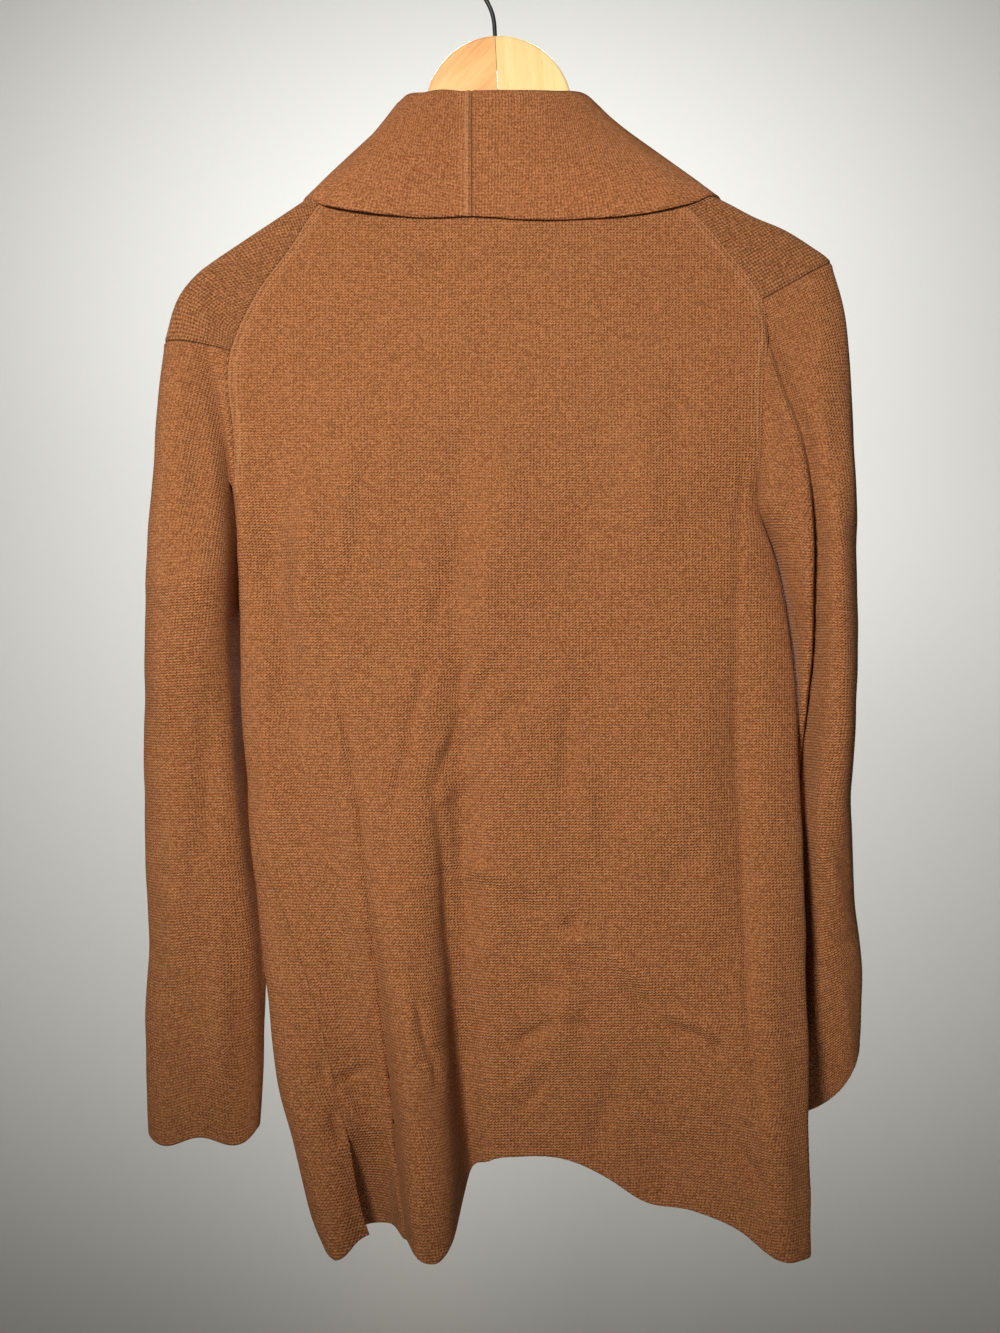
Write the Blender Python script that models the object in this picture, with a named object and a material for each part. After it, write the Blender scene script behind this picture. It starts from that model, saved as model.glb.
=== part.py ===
"""A knit blazer with a shawl collar, hung on a flat wooden hanger with a wire hook.

Every length below is in millimetres and becomes metres when a mesh is made. X runs across the garment, with
the wearer's left at +X. The front faces -Y, the back faces +Y, and +Z is up. The origin is the inside top of the
hook, where a rail carries it.

Each panel of cloth is a grid of points on its middle surface. Neighbouring panels share the points of their
seam, so their normals agree there, and a closed wall is then grown half a thickness to each side.
"""
import math

import bmesh
import bpy
import numpy as np

# ---------------------------------------------------------------- driving sizes
MM = 0.001
WALL = 2.0              # thickness of the knit
SEAM_GAP = 0.3          # between neighbouring pieces
HANGER_SPAN = 433.4     # tip to tip
HANGER_THICK = 12.0
HANGER_TILT = 3.0       # degrees, the wearer's left side lower
WOOD_TOP = (-5.5, -76.7)        # X and Z of the top of the wood
HOOK_WIRE = 1.5         # radius
HOOK_BEND = 22.0        # radius of the loop's centre line
SHANK_BEND = 37.0       # radius of the bend under the loop
SHANK_DEPTH = 20.0      # of the shank in the wood
SHANK_CLEAR = 0.35      # radial, round the shank
HOOK_END = 205.0        # degrees, where the loop ends
WOOD_ROUND = 1.6        # rounding of the wood's edges
HUMP = 50.0             # radius of the hanger's hump
HUMP_TURN = 70.0        # degrees of that arc on each half
TIP_CENTRE = (207.5, -172.0)
TIP_RADIUS = HANGER_SPAN / 2.0 - TIP_CENTRE[0]
ARM_TOP = [(50.5, -45.0), (54.0, -60.0), (61.0, -76.0), (76.0, -91.0), (108.0, -105.5), (150.0, -127.0),
           (193.0, -152.5), (203.9, -163.2)]
ARM_UNDER = [(190.0, -175.0), (150.0, -154.0), (100.0, -133.0), (50.0, -118.0), (0.0, -112.0)]
HANGER_HALVES = [
    # node, side, colour
    ("hanger_left", 1.0, (0.83, 0.52, 0.22)),
    ("hanger_right", -1.0, (0.86, 0.66, 0.33)),
]
HOOK_COLOUR = (0.012, 0.012, 0.013)

SHOULDER_END = 0.20     # row parameter where the saddle meets the sleeve
UNDERARM = 0.36         # row parameter of the underarm
VENT_TOP = 0.84         # row parameter of the top of the side vents

SHOULDER_STEPS = np.array([0.0, 0.2, 0.4, 0.58, 0.72, 0.83, 0.92, 1.0])     # rows from neck to shoulder end
ARMHOLE_ROWS = 5        # shoulder end to underarm
SKIRT_ROWS = 12         # underarm to hem
BACK_COLUMNS = 25
FRONT_COLUMNS = 9
ARM_COLUMNS = 12        # round a sleeve
SLEEVE_ROWS = 12        # underarm to cuff
COLLAR_COLUMNS = 7      # seam to outer edge

# Side line of the body. row: row parameter. x, z: where the panel ends. open: half the depth of the armhole
# there. side_y: how far the side stands towards the back.
LEFT_SIDE = np.array([
    # row,   x,     z,   open, side_y
    (0.00,  77.0, -168.5,  9.0,  0.0),
    (0.05, 111.0, -190.5, 10.0,  0.0),
    (0.10, 134.0, -224.0, 11.0,  0.0),
    (0.15, 156.5, -255.0, 11.5,  0.0),
    (0.20, 173.3, -293.5, 12.0,  0.0),
    (0.28, 171.2, -360.0, 13.0,  0.0),
    (0.33, 170.5, -418.0,  9.0,  0.0),
    (0.36, 170.2, -446.0,  0.0,  0.0),
    (0.45, 167.0, -532.0,  0.0,  1.0),
    (0.55, 160.0, -618.0,  0.0,  5.0),
    (0.65, 150.5, -700.0,  0.0, 11.0),
    (0.75, 142.0, -770.0,  0.0, 16.0),
    (0.85, 128.0, -826.0,  0.0, 21.0),
    (0.93, 116.0, -868.0,  0.0, 24.0),
    (1.00, 106.0, -892.0,  0.0, 26.0),
])
RIGHT_SIDE = np.array([
    # row,    x,      z,   open, side_y
    (0.00,  -76.5, -160.5,  9.0,  0.0),
    (0.05, -112.0, -179.0, 10.0,  0.0),
    (0.10, -139.0, -198.0, 10.5,  0.0),
    (0.15, -163.0, -225.0, 11.0,  0.0),
    (0.20, -186.5, -258.5, 12.0,  0.0),
    (0.28, -187.0, -320.0, 13.0,  0.0),
    (0.33, -185.8, -368.0,  9.0,  0.0),
    (0.36, -184.8, -397.0,  0.0,  0.0),
    (0.40, -196.0, -434.0,  0.0,  0.0),
    (0.45, -206.5, -486.0,  0.0,  0.0),
    (0.55, -212.0, -582.0,  0.0,  3.0),
    (0.65, -215.0, -668.0,  0.0,  8.0),
    (0.75, -215.5, -745.0,  0.0, 15.0),
    (0.85, -215.0, -817.0,  0.0, 20.0),
    (1.00, -215.5, -896.0,  0.0, 24.0),
])

# Depth of the body. back, front: how far the cloth stands from the middle. flat: superellipse power, where a
# larger number is a flatter tube.
BODY_DEPTH = np.array([
    # row, back, front, flat
    (0.00, 10.0, 11.0, 4.0),
    (0.20, 13.5, 13.0, 3.6),
    (0.36, 24.0, 22.0, 3.0),
    (0.50, 27.0, 25.0, 2.8),
    (0.70, 25.0, 26.0, 2.8),
    (0.83, 22.0, 25.0, 2.8),
    (1.00, 20.0, 24.0, 2.8),
])
# Side seams. left, right: degrees that each lies round from the side, towards the back. Below zero it is
# towards the front.
SIDE_SEAMS = np.array([
    # row, left, right
    (0.36,  0.0,   0.0), (0.47,  2.0,  -2.0), (0.55, 14.0, -5.0), (0.62, 31.0, -8.0), (0.70, 41.0, -11.0),
    (0.84, 45.0, -12.0), (1.00, 44.0, -12.0),
])
FRONT_SIDE = 1e-5       # degrees past the side that count as the front layer

# The pleat beside the centre back and the roll at the left side. right, left: X of its flanks. out: how far it
# stands out. right_soft, left_soft: half the width over which each flank turns.
PLEAT = np.array([
    #   z,   right,  left,  out, right_soft, left_soft
    (-500.0,  34.0, 103.0,  0.0, 24.0, 26.0),
    (-560.0,  35.0,  95.0,  4.0, 18.0, 24.0),
    (-615.0,  34.0,  84.0,  9.0, 13.0, 18.0),
    (-680.0,  32.0,  76.0, 16.0, 10.0, 13.0),
    (-745.0,  27.5,  67.0, 25.0,  7.5,  9.5),
    (-820.0,  19.5,  57.0, 36.0,  5.0,  6.0),
    (-900.0,  17.5,  50.0, 45.0,  4.0,  4.0),
])
SIDE_ROLL = np.array([
    #   z,   right,  left,  out, right_soft, left_soft
    (-640.0, 118.0, 400.0,  0.0, 20.0, 20.0),
    (-700.0, 112.0, 400.0,  3.0, 18.0, 20.0),
    (-760.0, 103.0, 400.0,  8.0, 15.0, 20.0),
    (-820.0,  92.0, 400.0, 14.0, 11.0, 20.0),
    (-900.0,  82.0, 400.0, 18.0,  8.0, 20.0),
])

# Soft folds of the body. out: how far it stands out at its middle, and low_out at its lower end. A trough is
# negative. side: which layer it is on, 1 the back and -1 the front.
SOFT_FOLDS = [
    # name,               side, x_top, z_top, x_low, z_low, half_width, out, low_out
    ("valley by the pleat", 1,  20.0, -350.0,  14.0, -905.0, 12.0, -5.0, -11.0),
    ("centre trough",       1, -68.0, -330.0, -72.0, -700.0, 26.0, -3.5,   0.0),
    ("right crease",        1, -168.0, -420.0, -172.0, -800.0, 15.0, -7.0, 0.0),
    ("right hem roll",      1, -176.0, -640.0, -196.0, -905.0, 20.0, 2.0, 12.0),
    ("right hem hollow",    1, -120.0, -700.0, -118.0, -905.0, 24.0, -2.0, -6.0),
    ("left upper trough",   1, 152.0, -330.0, 128.0, -580.0, 15.0, -5.0,   0.0),
    ("left upper ridge",    1, 112.0, -330.0, 112.0, -560.0, 14.0, 3.5,    0.0),
    ("left front fold",    -1, 118.0, -420.0, 104.0, -905.0, 22.0, 6.0,  10.0),
    ("left front trough",  -1,  84.0, -480.0,  70.0, -905.0, 18.0, -5.0, -8.0),
    ("right front fold",   -1, -110.0, -480.0, -104.0, -905.0, 22.0, 6.0, 8.0),
    ("right front trough", -1, -150.0, -480.0, -148.0, -905.0, 20.0, -5.0, -7.0),
]
PLEAT_FADE = 2.5        # how soon the pleat and the roll come in from a side
FOLD_FADE = 2.0         # how soon a soft fold does

# Side vents. move: how far each free edge moves at the hem in X, Y and Z. reach: over how much cloth.
VENT_SPEED = 0.5        # exponent of how fast they part, where less is faster
LEFT_VENT_BACK = ((3.0, -26.0, 6.0), 28.0)
LEFT_VENT_FRONT = ((5.0, 5.0, 5.0), 27.0)
RIGHT_VENT_BACK = ((1.0, 6.0, 0.0), 20.0)
RIGHT_VENT_FRONT = ((1.0, -5.0, 0.0), 20.0)

# Lower edge of the back and of the fronts, from the wearer's left to right.
BACK_HEM = np.array([
    #  x,      z
    (107.0, -892.0), (98.0, -895.0), (80.0, -889.0), (64.0, -885.0), (50.0, -883.0), (38.0, -889.0),
    (28.0, -888.0), (20.0, -877.0), (13.0, -852.0), (-2.0, -839.0), (-22.0, -836.0), (-50.0, -837.0),
    (-80.0, -850.0), (-108.0, -868.0), (-140.0, -872.0), (-168.0, -882.0), (-190.0, -896.0), (-216.0, -899.0),
])
FRONT_HEM = np.array([
    #  x,      z
    (107.0, -893.0), (84.0, -884.0), (60.0, -868.0), (24.0, -842.0), (-50.0, -836.0), (-90.0, -846.0),
    (-140.0, -866.0), (-190.0, -884.0), (-216.0, -894.0),
])

# Inner edges of the open fronts. The neck runs down from the shoulder to where the front edge starts.
FRONT_EDGE = np.array([
    # row, left_x, right_x
    (0.00, 69.0, -69.0), (0.20, 66.0, -67.0), (0.36, 57.0, -61.0), (0.60, 44.0, -54.0), (0.80, 33.0, -50.0),
    (1.00, 24.0, -48.0),
])
NECK_DROP = 18.0        # height of the front neck edge below the shoulder
BACK_NECK_RISE = 10.0   # of the back neck edge above its corners
HEM_POWER = 1.6         # how late the rows take on the hem's shape

# Tops of the shoulders, from the neck to where the sleeve starts.
LEFT_RIDGE = np.array([
    #  s,     x,      z
    (0.00,  82.0, -163.0), (0.20, 105.0, -177.3), (0.36, 126.0, -190.9), (0.52, 146.6, -204.6),
    (0.66, 167.0, -218.3), (0.78, 187.0, -231.5), (0.84, 197.5, -239.4), (0.90, 207.7, -251.4),
    (0.95, 213.8, -264.5), (1.00, 219.2, -285.8),
])
RIGHT_RIDGE = np.array([
    #  s,      x,      z
    (0.00,  -83.0, -156.5), (0.25, -118.5, -171.0), (0.52, -162.3, -191.0), (0.65, -180.8, -200.5),
    (0.81, -206.2, -211.4), (0.90, -221.5, -221.0), (0.96, -231.0, -227.6), (1.00, -234.4, -231.6),
])

# Upper sleeve, from the saddle to the underarm. out_x, out_z: its outer side. depth: half its depth.
LEFT_CAP = np.array([
    # row, out_x,  out_z, depth
    (0.20, 219.2, -285.8, 13.0), (0.25, 223.4, -322.0, 20.0), (0.30, 227.0, -380.0, 29.0),
    (0.36, 231.5, -452.0, 38.0),
])
RIGHT_CAP = np.array([
    # row, out_x,   out_z, depth
    (0.20, -234.4, -231.6, 13.0), (0.25, -244.2, -272.0, 20.0), (0.30, -248.6, -340.0, 29.0),
    (0.36, -250.6, -407.0, 38.0),
])

# Lower sleeves, from underarm to cuff. in_x, out_x: the two sides. mid_y: middle. depth: half its depth.
LEFT_ARM = np.array([
    #   z,    in_x,  out_x,  mid_y, depth
    (-449.0, 172.7, 231.5,   0.0, 38.0),
    (-478.0, 173.4, 233.2,  -6.0, 38.5),
    (-530.0, 170.8, 235.2, -13.0, 36.0),
    (-590.0, 165.7, 235.4, -14.0, 32.5),
    (-650.0, 159.2, 234.2, -13.0, 29.0),
    (-710.0, 153.6, 232.8, -10.0, 25.0),
    (-760.0, 154.3, 234.2,  -7.0, 21.0),
    (-800.0, 155.6, 232.8,  -5.0, 18.0),
    (-829.0, 157.3, 231.4,  -4.0, 16.0),
])
RIGHT_ARM = np.array([
    #   z,     in_x,   out_x, mid_y, depth
    (-402.0, -187.4, -250.6,   0.0, 38.0),
    (-434.0, -201.0, -250.8,  -2.0, 42.0),
    (-490.0, -210.5, -251.0,  -7.0, 43.0),
    (-550.0, -213.6, -251.2, -13.0, 41.0),
    (-600.0, -213.0, -251.2, -20.0, 36.0),
    (-650.0, -206.0, -254.6, -28.0, 29.0),
    (-700.0, -196.0, -258.6, -34.0, 24.0),
    (-760.0, -184.0, -263.8, -37.0, 20.0),
    (-795.0, -181.0, -263.6, -37.0, 18.0),
    (-818.0, -182.0, -262.5, -37.0, 16.0),
])
SLEEVE_FOLDS = [
    # name,            side of the body, x_top, z_top, x_low, z_low, half_width, out, low_out
    ("left arm valley",      1,  196.0, -284.0,  188.0, -440.0, 12.0, -6.0, 0.0),
    ("left arm crease",      1,  189.0, -520.0,  190.0, -650.0, 12.0, -3.0, 0.0),
    ("right arm valley",    -1, -196.0, -262.0, -223.0, -620.0, 14.0, -9.0, 0.0),
    ("right arm lower fold", -1, -240.0, -610.0, -250.0, -822.0, 14.0, 4.0, 0.0),
]
SLEEVE_FLAT = 0.86      # superellipse exponent of a sleeve's section, where 1 is an ellipse
SADDLE_FLAT = 0.5       # exponent of the saddle's rise from its seam to the shoulder's ridge
SADDLE_ROUND = 0.62     # exponent of its depth
EASE_ROWS = 4.0         # rows over which the sleeve's tube eases out of the cap's last section
FACING_START = 0.45     # share of a sleeve's depth, from the front, where its folds begin to show
UNDERARM_CLEAR = 2.5    # middle of the sleeve to middle of the body at the underarm
UNDERARM_RISE = 6.0     # how far the tube's outer side is lower than its inner side at the underarm
CUFF_WAVE = 2.5         # height of the wave in each cuff's edge
CUFF_RISE = {1: (3.0, 8.0), -1: (32.0, 0.0)}    # how far a cuff curves up at its outer and its inner side
CUFF_ROUND = (3.5, 6.0)         # exponents of how near to those sides it does
CUFF_START = 0.75       # share of the lower sleeve from which the cuff takes its shape
CUFF_TURN = 0.6         # radians, where the wave starts

# Sections of the shawl collar from the centre back to where the lapel ends. start: share of the neck edge.
# roll, edge: X, Y, Z of the fold line and the outer edge.
LEFT_COLLAR = np.array([
    # start,  roll x,    y,      z,  edge x,     y,      z
    (0.000,   10.0,   13.5, -119.5,   10.0,  14.5, -202.5),
    (0.080,   39.0,   12.5, -119.8,   52.0,  14.5, -203.0),
    (0.130,   52.0,   10.0, -124.0,   92.0,  16.5, -199.0),
    (0.160,   58.0,    5.0, -131.0,  112.0,  13.5, -194.5),
    (0.185,   61.0,   -1.0, -137.0,  125.0,   0.0, -187.0),
    (0.210,   64.0,   -9.0, -146.0,  131.0, -15.0, -202.0),
    (0.260,   59.0,  -17.0, -172.0,  133.0, -20.0, -238.0),
    (0.400,   53.0,  -21.0, -260.0,  126.0, -24.0, -310.0),
    (0.600,   46.0,  -27.0, -360.0,  102.0, -29.0, -395.0),
    (0.800,   41.0,  -30.0, -455.0,   70.0, -32.0, -476.0),
    (1.000,   39.0,  -32.0, -545.0,   47.0, -35.0, -549.0),
])
RIGHT_COLLAR = np.array([
    # start,  roll x,    y,      z,  edge x,     y,      z
    (0.000,   10.0,   13.5, -119.5,   10.0,  14.5, -202.5),
    (0.080,  -40.0,   13.5, -118.5,  -52.0,  14.5, -204.8),
    (0.130,  -62.0,   10.0, -119.5, -108.0,  15.0, -200.5),
    (0.160,  -71.0,    5.0, -126.0, -140.0,  13.0, -193.0),
    (0.185,  -76.0,   -1.0, -133.0, -159.5,   0.0, -186.3),
    (0.210,  -72.0,   -9.0, -142.0, -158.0, -15.0, -203.0),
    (0.260,  -63.0,  -17.0, -170.0, -150.0, -20.0, -240.0),
    (0.400,  -57.0,  -21.0, -260.0, -136.0, -24.0, -310.0),
    (0.600,  -52.0,  -27.0, -360.0, -110.0, -29.0, -395.0),
    (0.800,  -51.0,  -30.0, -455.0,  -80.0, -32.0, -476.0),
    (1.000,  -51.5,  -32.0, -545.0,  -60.0, -35.0, -549.0),
])
LAPEL_END = 0.52        # row parameter of the front edge where the lapel ends
CENTRE_BACK_SHARE = 0.44        # share of the back neck edge that the left half of the collar takes
LAPEL_CLEAR = 3.4       # middle of the collar to middle of the panel that it lies on
FACE_SAMPLES = ((1, 0, 0, 0), (0, 0, 1, 0), (0.5, 0.5, 0, 0), (0.5, 0, 0, 0.5), (0.25, 0.25, 0.25, 0.25))
ROLL_BEND = 3.4         # size of the round over the fold line
ROLL_LIMIT = 0.35       # largest share of the stand's height that the round takes
ROLL_BACK, ROLL_TOP = 1.9, 0.9  # how far the round's end and its top stand off the stand, in ROLL_BENDs
FALL_BOW = 1.0          # how far the fall bows out
FALL_SHARES = (0.35, 0.7, 1.0)  # places along the fall that its curve passes through
FALL_START = 4          # column of the collar's grid from which it is fall
COLLAR_PULL = 0.6       # how far the collar is drawn back at the neck, where it turns sharply
COLLAR_MARKS = (0.0, 0.155, 0.215, 0.245, 1.0)      # places of the neck corners along the collar

CLOTH = {
    # node: colour, roughness
    "knit": ((0.38, 0.125, 0.044), 0.92),
    "saddle knit": ((0.30, 0.105, 0.040), 0.94),
}


# ---------------------------------------------------------------- curves and grids
def column(table, place, at):
    """Read one column of a table at any places: a smooth curve through its rows (cubic Hermite, where each
    slope is that of the two rows beside it)."""
    x, y = table[:, 0], table[:, place]
    if x[0] > x[-1]:
        x, y = x[::-1], y[::-1]
    at = np.clip(at, x[0], x[-1])
    slope = np.gradient(y, x)
    i = np.clip(np.searchsorted(x, at, side="right") - 1, 0, len(x) - 2)
    h = x[i + 1] - x[i]
    t = (at - x[i]) / h
    return ((2 * t**3 - 3 * t**2 + 1) * y[i] + (t**3 - 2 * t**2 + t) * h * slope[i]
            + (3 * t**2 - 2 * t**3) * y[i + 1] + (t**3 - t**2) * h * slope[i + 1])


def smooth(t):
    """0 to 1 with no kink at either end."""
    t = np.clip(t, 0.0, 1.0)
    return t * t * (3.0 - 2.0 * t)


def even(grid, count):
    """The same rows, each with this many points evenly spaced along its length."""
    rows = []
    for line in grid:
        run = np.concatenate([[0.0], np.cumsum(np.linalg.norm(np.diff(line, axis=0), axis=1))])
        at = np.linspace(0.0, run[-1], count)
        rows.append(np.stack([np.interp(at, run, line[:, k]) for k in range(3)], axis=1))
    return np.array(rows)


def bulge(table, x, z):
    """How far a pleat stands out: two soft steps, one at each flank."""
    right, left, out, right_soft, left_soft = (column(table, k, z) for k in range(1, 6))
    step = np.tanh((x - right) / right_soft) - np.tanh((x - left) / left_soft)
    return 0.5 * out * step * (z < table[0, 0])


def fold(x, z, x_top, z_top, x_low, z_low, half_width, out, low_out):
    """A soft fold along a line: a bell across it, growing from nothing at its top."""
    t = np.clip((z_top - z) / (z_top - z_low), 0.0, 1.0)
    middle = x_top + (x_low - x_top) * t
    height = out * np.sin(math.pi * t) + low_out * smooth(t)
    return height * np.exp(-((x - middle) / half_width) ** 2)


# ---------------------------------------------------------------- body
def power(value, exponent):
    return np.sign(value) * np.abs(value) ** exponent


def body(row, angle):
    """Middle surface of the body. angle: degrees round it, 0 the left side, 90 the back, 180 the right side,
    270 the front. Each level is a superellipse that the armholes hold open, with the folds added."""
    row, angle = np.broadcast_arrays(np.asarray(row, float), np.asarray(angle, float))
    a = np.radians(angle)
    flat = 2.0 / column(BODY_DEPTH, 3, row)
    left_x, left_z, left_open, left_y = (column(LEFT_SIDE, k, row) for k in range(1, 5))
    right_x, right_z, right_open, right_y = (column(RIGHT_SIDE, k, row) for k in range(1, 5))
    across = power(np.cos(a), flat)
    share = 0.5 * (1.0 + across)
    x = right_x + (left_x - right_x) * share
    back = np.sin(a) >= -1e-9
    held = np.maximum(right_open + (left_open - right_open) * share, 0.0)
    depth = np.where(back, column(BODY_DEPTH, 1, row), column(BODY_DEPTH, 2, row))
    y = held + (depth - held) * np.abs(np.sin(a)) ** flat
    y = np.where(back, y, -y)
    y = y + left_y * np.maximum(across, 0.0) ** 2 + right_y * np.maximum(-across, 0.0) ** 2

    z = right_z + (left_z - right_z) * share
    z = z + BACK_NECK_RISE * (1.0 - across**2) * (1.0 - smooth(row / SHOULDER_END)) * back
    end_z = RIGHT_SIDE[-1, 2] + (LEFT_SIDE[-1, 2] - RIGHT_SIDE[-1, 2]) * share
    end_x = RIGHT_SIDE[-1, 1] + (LEFT_SIDE[-1, 1] - RIGHT_SIDE[-1, 1]) * share
    hem = np.where(back, column(BACK_HEM, 1, end_x), column(FRONT_HEM, 1, end_x))
    z = z + (hem - end_z) * np.clip((row - UNDERARM) / (1.0 - UNDERARM), 0.0, 1.0) ** HEM_POWER

    lift = bulge(PLEAT, x, z) + bulge(SIDE_ROLL, x, z)
    y = y + np.where(back, lift, 0.0) * np.clip(np.abs(np.sin(a)) * PLEAT_FADE, 0.0, 1.0)
    for _, side, *line in SOFT_FOLDS:
        shown = (back == (side > 0)) * np.clip(np.abs(np.sin(a)) * FOLD_FADE, 0.0, 1.0)
        y = y + side * shown * fold(x, z, *line)
    return np.stack([x, y, z], axis=-1)


def body_rows():
    """Row parameters from neck to hem, with one on each corner."""
    return np.concatenate([SHOULDER_STEPS * SHOULDER_END,
                           np.linspace(SHOULDER_END, UNDERARM, ARMHOLE_ROWS + 1)[1:],
                           np.linspace(UNDERARM, 1.0, SKIRT_ROWS + 1)[1:]])


def angle_at(row, x, front=True):
    """Angle on the front of the body at which X has this value."""
    left_x, right_x = column(LEFT_SIDE, 1, row), column(RIGHT_SIDE, 1, row)
    across = 2.0 * (x - right_x) / (left_x - right_x) - 1.0
    return 360.0 - np.degrees(np.arccos(np.clip(power(across, column(BODY_DEPTH, 3, row) / 2.0), -1.0, 1.0)))


def seam_angles(row):
    """Angles of the two side seams. Above the underarm they are the armholes, at the sides."""
    return column(SIDE_SEAMS, 1, row), 180.0 - column(SIDE_SEAMS, 2, row)


def front_seam_angles(row):
    """The same for the fronts, which end at the front edge of the open armhole."""
    left, right = seam_angles(row)
    above = row < UNDERARM - 1e-6
    return 360.0 + np.where(above, -FRONT_SIDE, left), np.where(above, 180.0 + FRONT_SIDE, right)


def span(row, start, stop, count):
    """Rows of the body between two angles, evenly spaced. They are first read finely, and more finely near
    the ends, so that the round at the side is kept."""
    fine = 0.5 - 0.5 * np.cos(np.linspace(0.0, math.pi, 360))
    angle = start[:, None] + (stop - start)[:, None] * fine[None, :]
    return even(body(row[:, None], angle), count)


def open_vent(grid, row, at_start, vent):
    """Below the top of the vent, the end of each row moves away from the seam."""
    move, reach = vent
    run = np.linalg.norm(grid - (grid[:, :1] if at_start else grid[:, -1:]), axis=-1)
    parted = smooth((row - VENT_TOP) / (1.0 - VENT_TOP)) ** VENT_SPEED
    amount = parted[:, None] * np.exp(-(run / reach) ** 2)
    return grid + amount[..., None] * np.array(move)


def back_panel():
    row = body_rows()
    start, stop = seam_angles(row)
    grid = span(row, start, stop, BACK_COLUMNS + 1)
    grid = open_vent(grid, row, True, LEFT_VENT_BACK)
    return open_vent(grid, row, False, RIGHT_VENT_BACK)


def front_panel(left):
    """A front: from the side seam to the open edge. Its top edge drops steeply to the neck edge."""
    row = body_rows()
    edge_x = column(FRONT_EDGE, 1 if left else 2, row)
    inner = angle_at(row, edge_x)
    seam_left, seam_right = front_seam_angles(row)
    if left:
        grid = span(row, inner, seam_left, FRONT_COLUMNS + 1)
        grid = open_vent(grid, row, False, LEFT_VENT_FRONT)
        near = grid[:, ::-1]
    else:
        grid = span(row, seam_right, inner, FRONT_COLUMNS + 1)
        grid = open_vent(grid, row, True, RIGHT_VENT_FRONT)
        near = grid
    above = row < UNDERARM - 1e-6
    near[above, 0] = armhole(left, row[above], -1.0)
    share = np.linspace(0.0, 1.0, FRONT_COLUMNS + 1)[None, :]
    drop = NECK_DROP * share * (1.0 - smooth(row / SHOULDER_END))[:, None]
    near[..., 2] -= drop
    return near[:, ::-1] if left else near


# ---------------------------------------------------------------- sleeves and saddles
def cap_section(row, side, cap, count, z_power):
    """Upper sleeve at some rows: from the front armhole round the outer side to the back armhole."""
    row = np.asarray(row, float)[:, None]
    turn = np.linspace(-180.0, 180.0, 241)[None, :]
    round_ = np.radians(180.0 - np.abs(turn))
    seam_x, seam_z, seam_y = (column(side, k, row) for k in (1, 2, 3))
    out_x, out_z, depth = (column(cap, k, row) for k in (1, 2, 3))
    across = 0.5 - 0.5 * power(np.cos(round_), SLEEVE_FLAT)
    x = seam_x + (out_x - seam_x) * across
    held = np.maximum(seam_y, 0.0) * (1.0 - across)
    y = held + (depth - held) * np.sin(round_) ** SLEEVE_FLAT
    z = out_z + (seam_z - out_z) * (1.0 - across) ** z_power
    x, y, z = np.broadcast_arrays(x, np.where(turn < 0.0, -y, y), z)
    points = crease(np.stack([x, y, z], axis=-1), 1 if side[0, 1] > 0 else -1)
    return even(points, count)


def crease(points, which):
    """Add the sleeve's folds to the side that faces back."""
    x, y, z = points[..., 0], points[..., 1], points[..., 2]
    share = (y - y.min(axis=1, keepdims=True)) / np.ptp(y, axis=1, keepdims=True)
    facing = smooth(2.0 * (share - FACING_START))
    for _, side, *line in SLEEVE_FOLDS:
        if side == which:
            y = y + facing * fold(x, z, *line)
    return np.stack([x, y, z], axis=-1)


def tube_section(arm, z, count, which):
    """Lower sleeve: a closed superellipse at each level, starting and ending at the underarm seam."""
    z = np.asarray(z, float)[:, None]
    turn = np.linspace(-180.0, 180.0, 241)[None, :]
    round_ = np.radians(180.0 - np.abs(turn))
    in_x, out_x, mid_y, depth = (column(arm, k, z) for k in (1, 2, 3, 4))
    across = 0.5 - 0.5 * power(np.cos(round_), SLEEVE_FLAT)
    x = in_x + (out_x - in_x) * across
    y = mid_y + np.sign(turn) * depth * np.sin(round_) ** SLEEVE_FLAT
    low = (arm[0, 0] - z) / (arm[0, 0] - arm[-1, 0])
    outer, inner = CUFF_RISE[which]
    rise = outer * across ** CUFF_ROUND[0] + inner * (1.0 - across) ** CUFF_ROUND[1]
    rise = rise + CUFF_WAVE * np.sin(3.0 * math.pi * across + CUFF_TURN) * np.sign(turn)
    rise = rise * smooth((low - CUFF_START) / (1.0 - CUFF_START))
    tip = (1.0 - smooth(3.0 * low)) * UNDERARM_RISE * (0.5 - across)
    x, y, z = np.broadcast_arrays(x, y, z + rise + tip)
    return even(crease(np.stack([x, y, z], axis=-1), which), count)


def sleeve(left):
    side, cap, arm, z_power = ((LEFT_SIDE, LEFT_CAP, LEFT_ARM, 2.0) if left
                               else (RIGHT_SIDE, RIGHT_CAP, RIGHT_ARM, 1.0))
    row = np.linspace(SHOULDER_END, UNDERARM, ARMHOLE_ROWS + 1)
    upper = cap_section(row, side, cap, ARM_COLUMNS + 1, z_power)
    level = np.linspace(arm[0, 0], arm[-1, 0], SLEEVE_ROWS + 1)[1:]
    lower = tube_section(arm, level, ARM_COLUMNS + 1, 1 if left else -1)
    ease = (1.0 - smooth(np.arange(1, len(level) + 1) / EASE_ROWS))[:, None, None]
    first = tube_section(arm, np.array([arm[0, 0]]), ARM_COLUMNS + 1, 1 if left else -1)
    lower = lower + ease * (upper[-1] - first[0])[None]
    grid = np.concatenate([upper, lower])
    for k, end in ((0, -1.0), (-1, 1.0)):
        grid[:len(upper), k] = armhole(left, row, end)
    rest = grid[len(upper) - 1:]
    rest[0, 0, 0] += UNDERARM_CLEAR if left else -UNDERARM_CLEAR
    rest[:, -1] = rest[:, 0]
    return grid if left else grid[:, ::-1]


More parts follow.
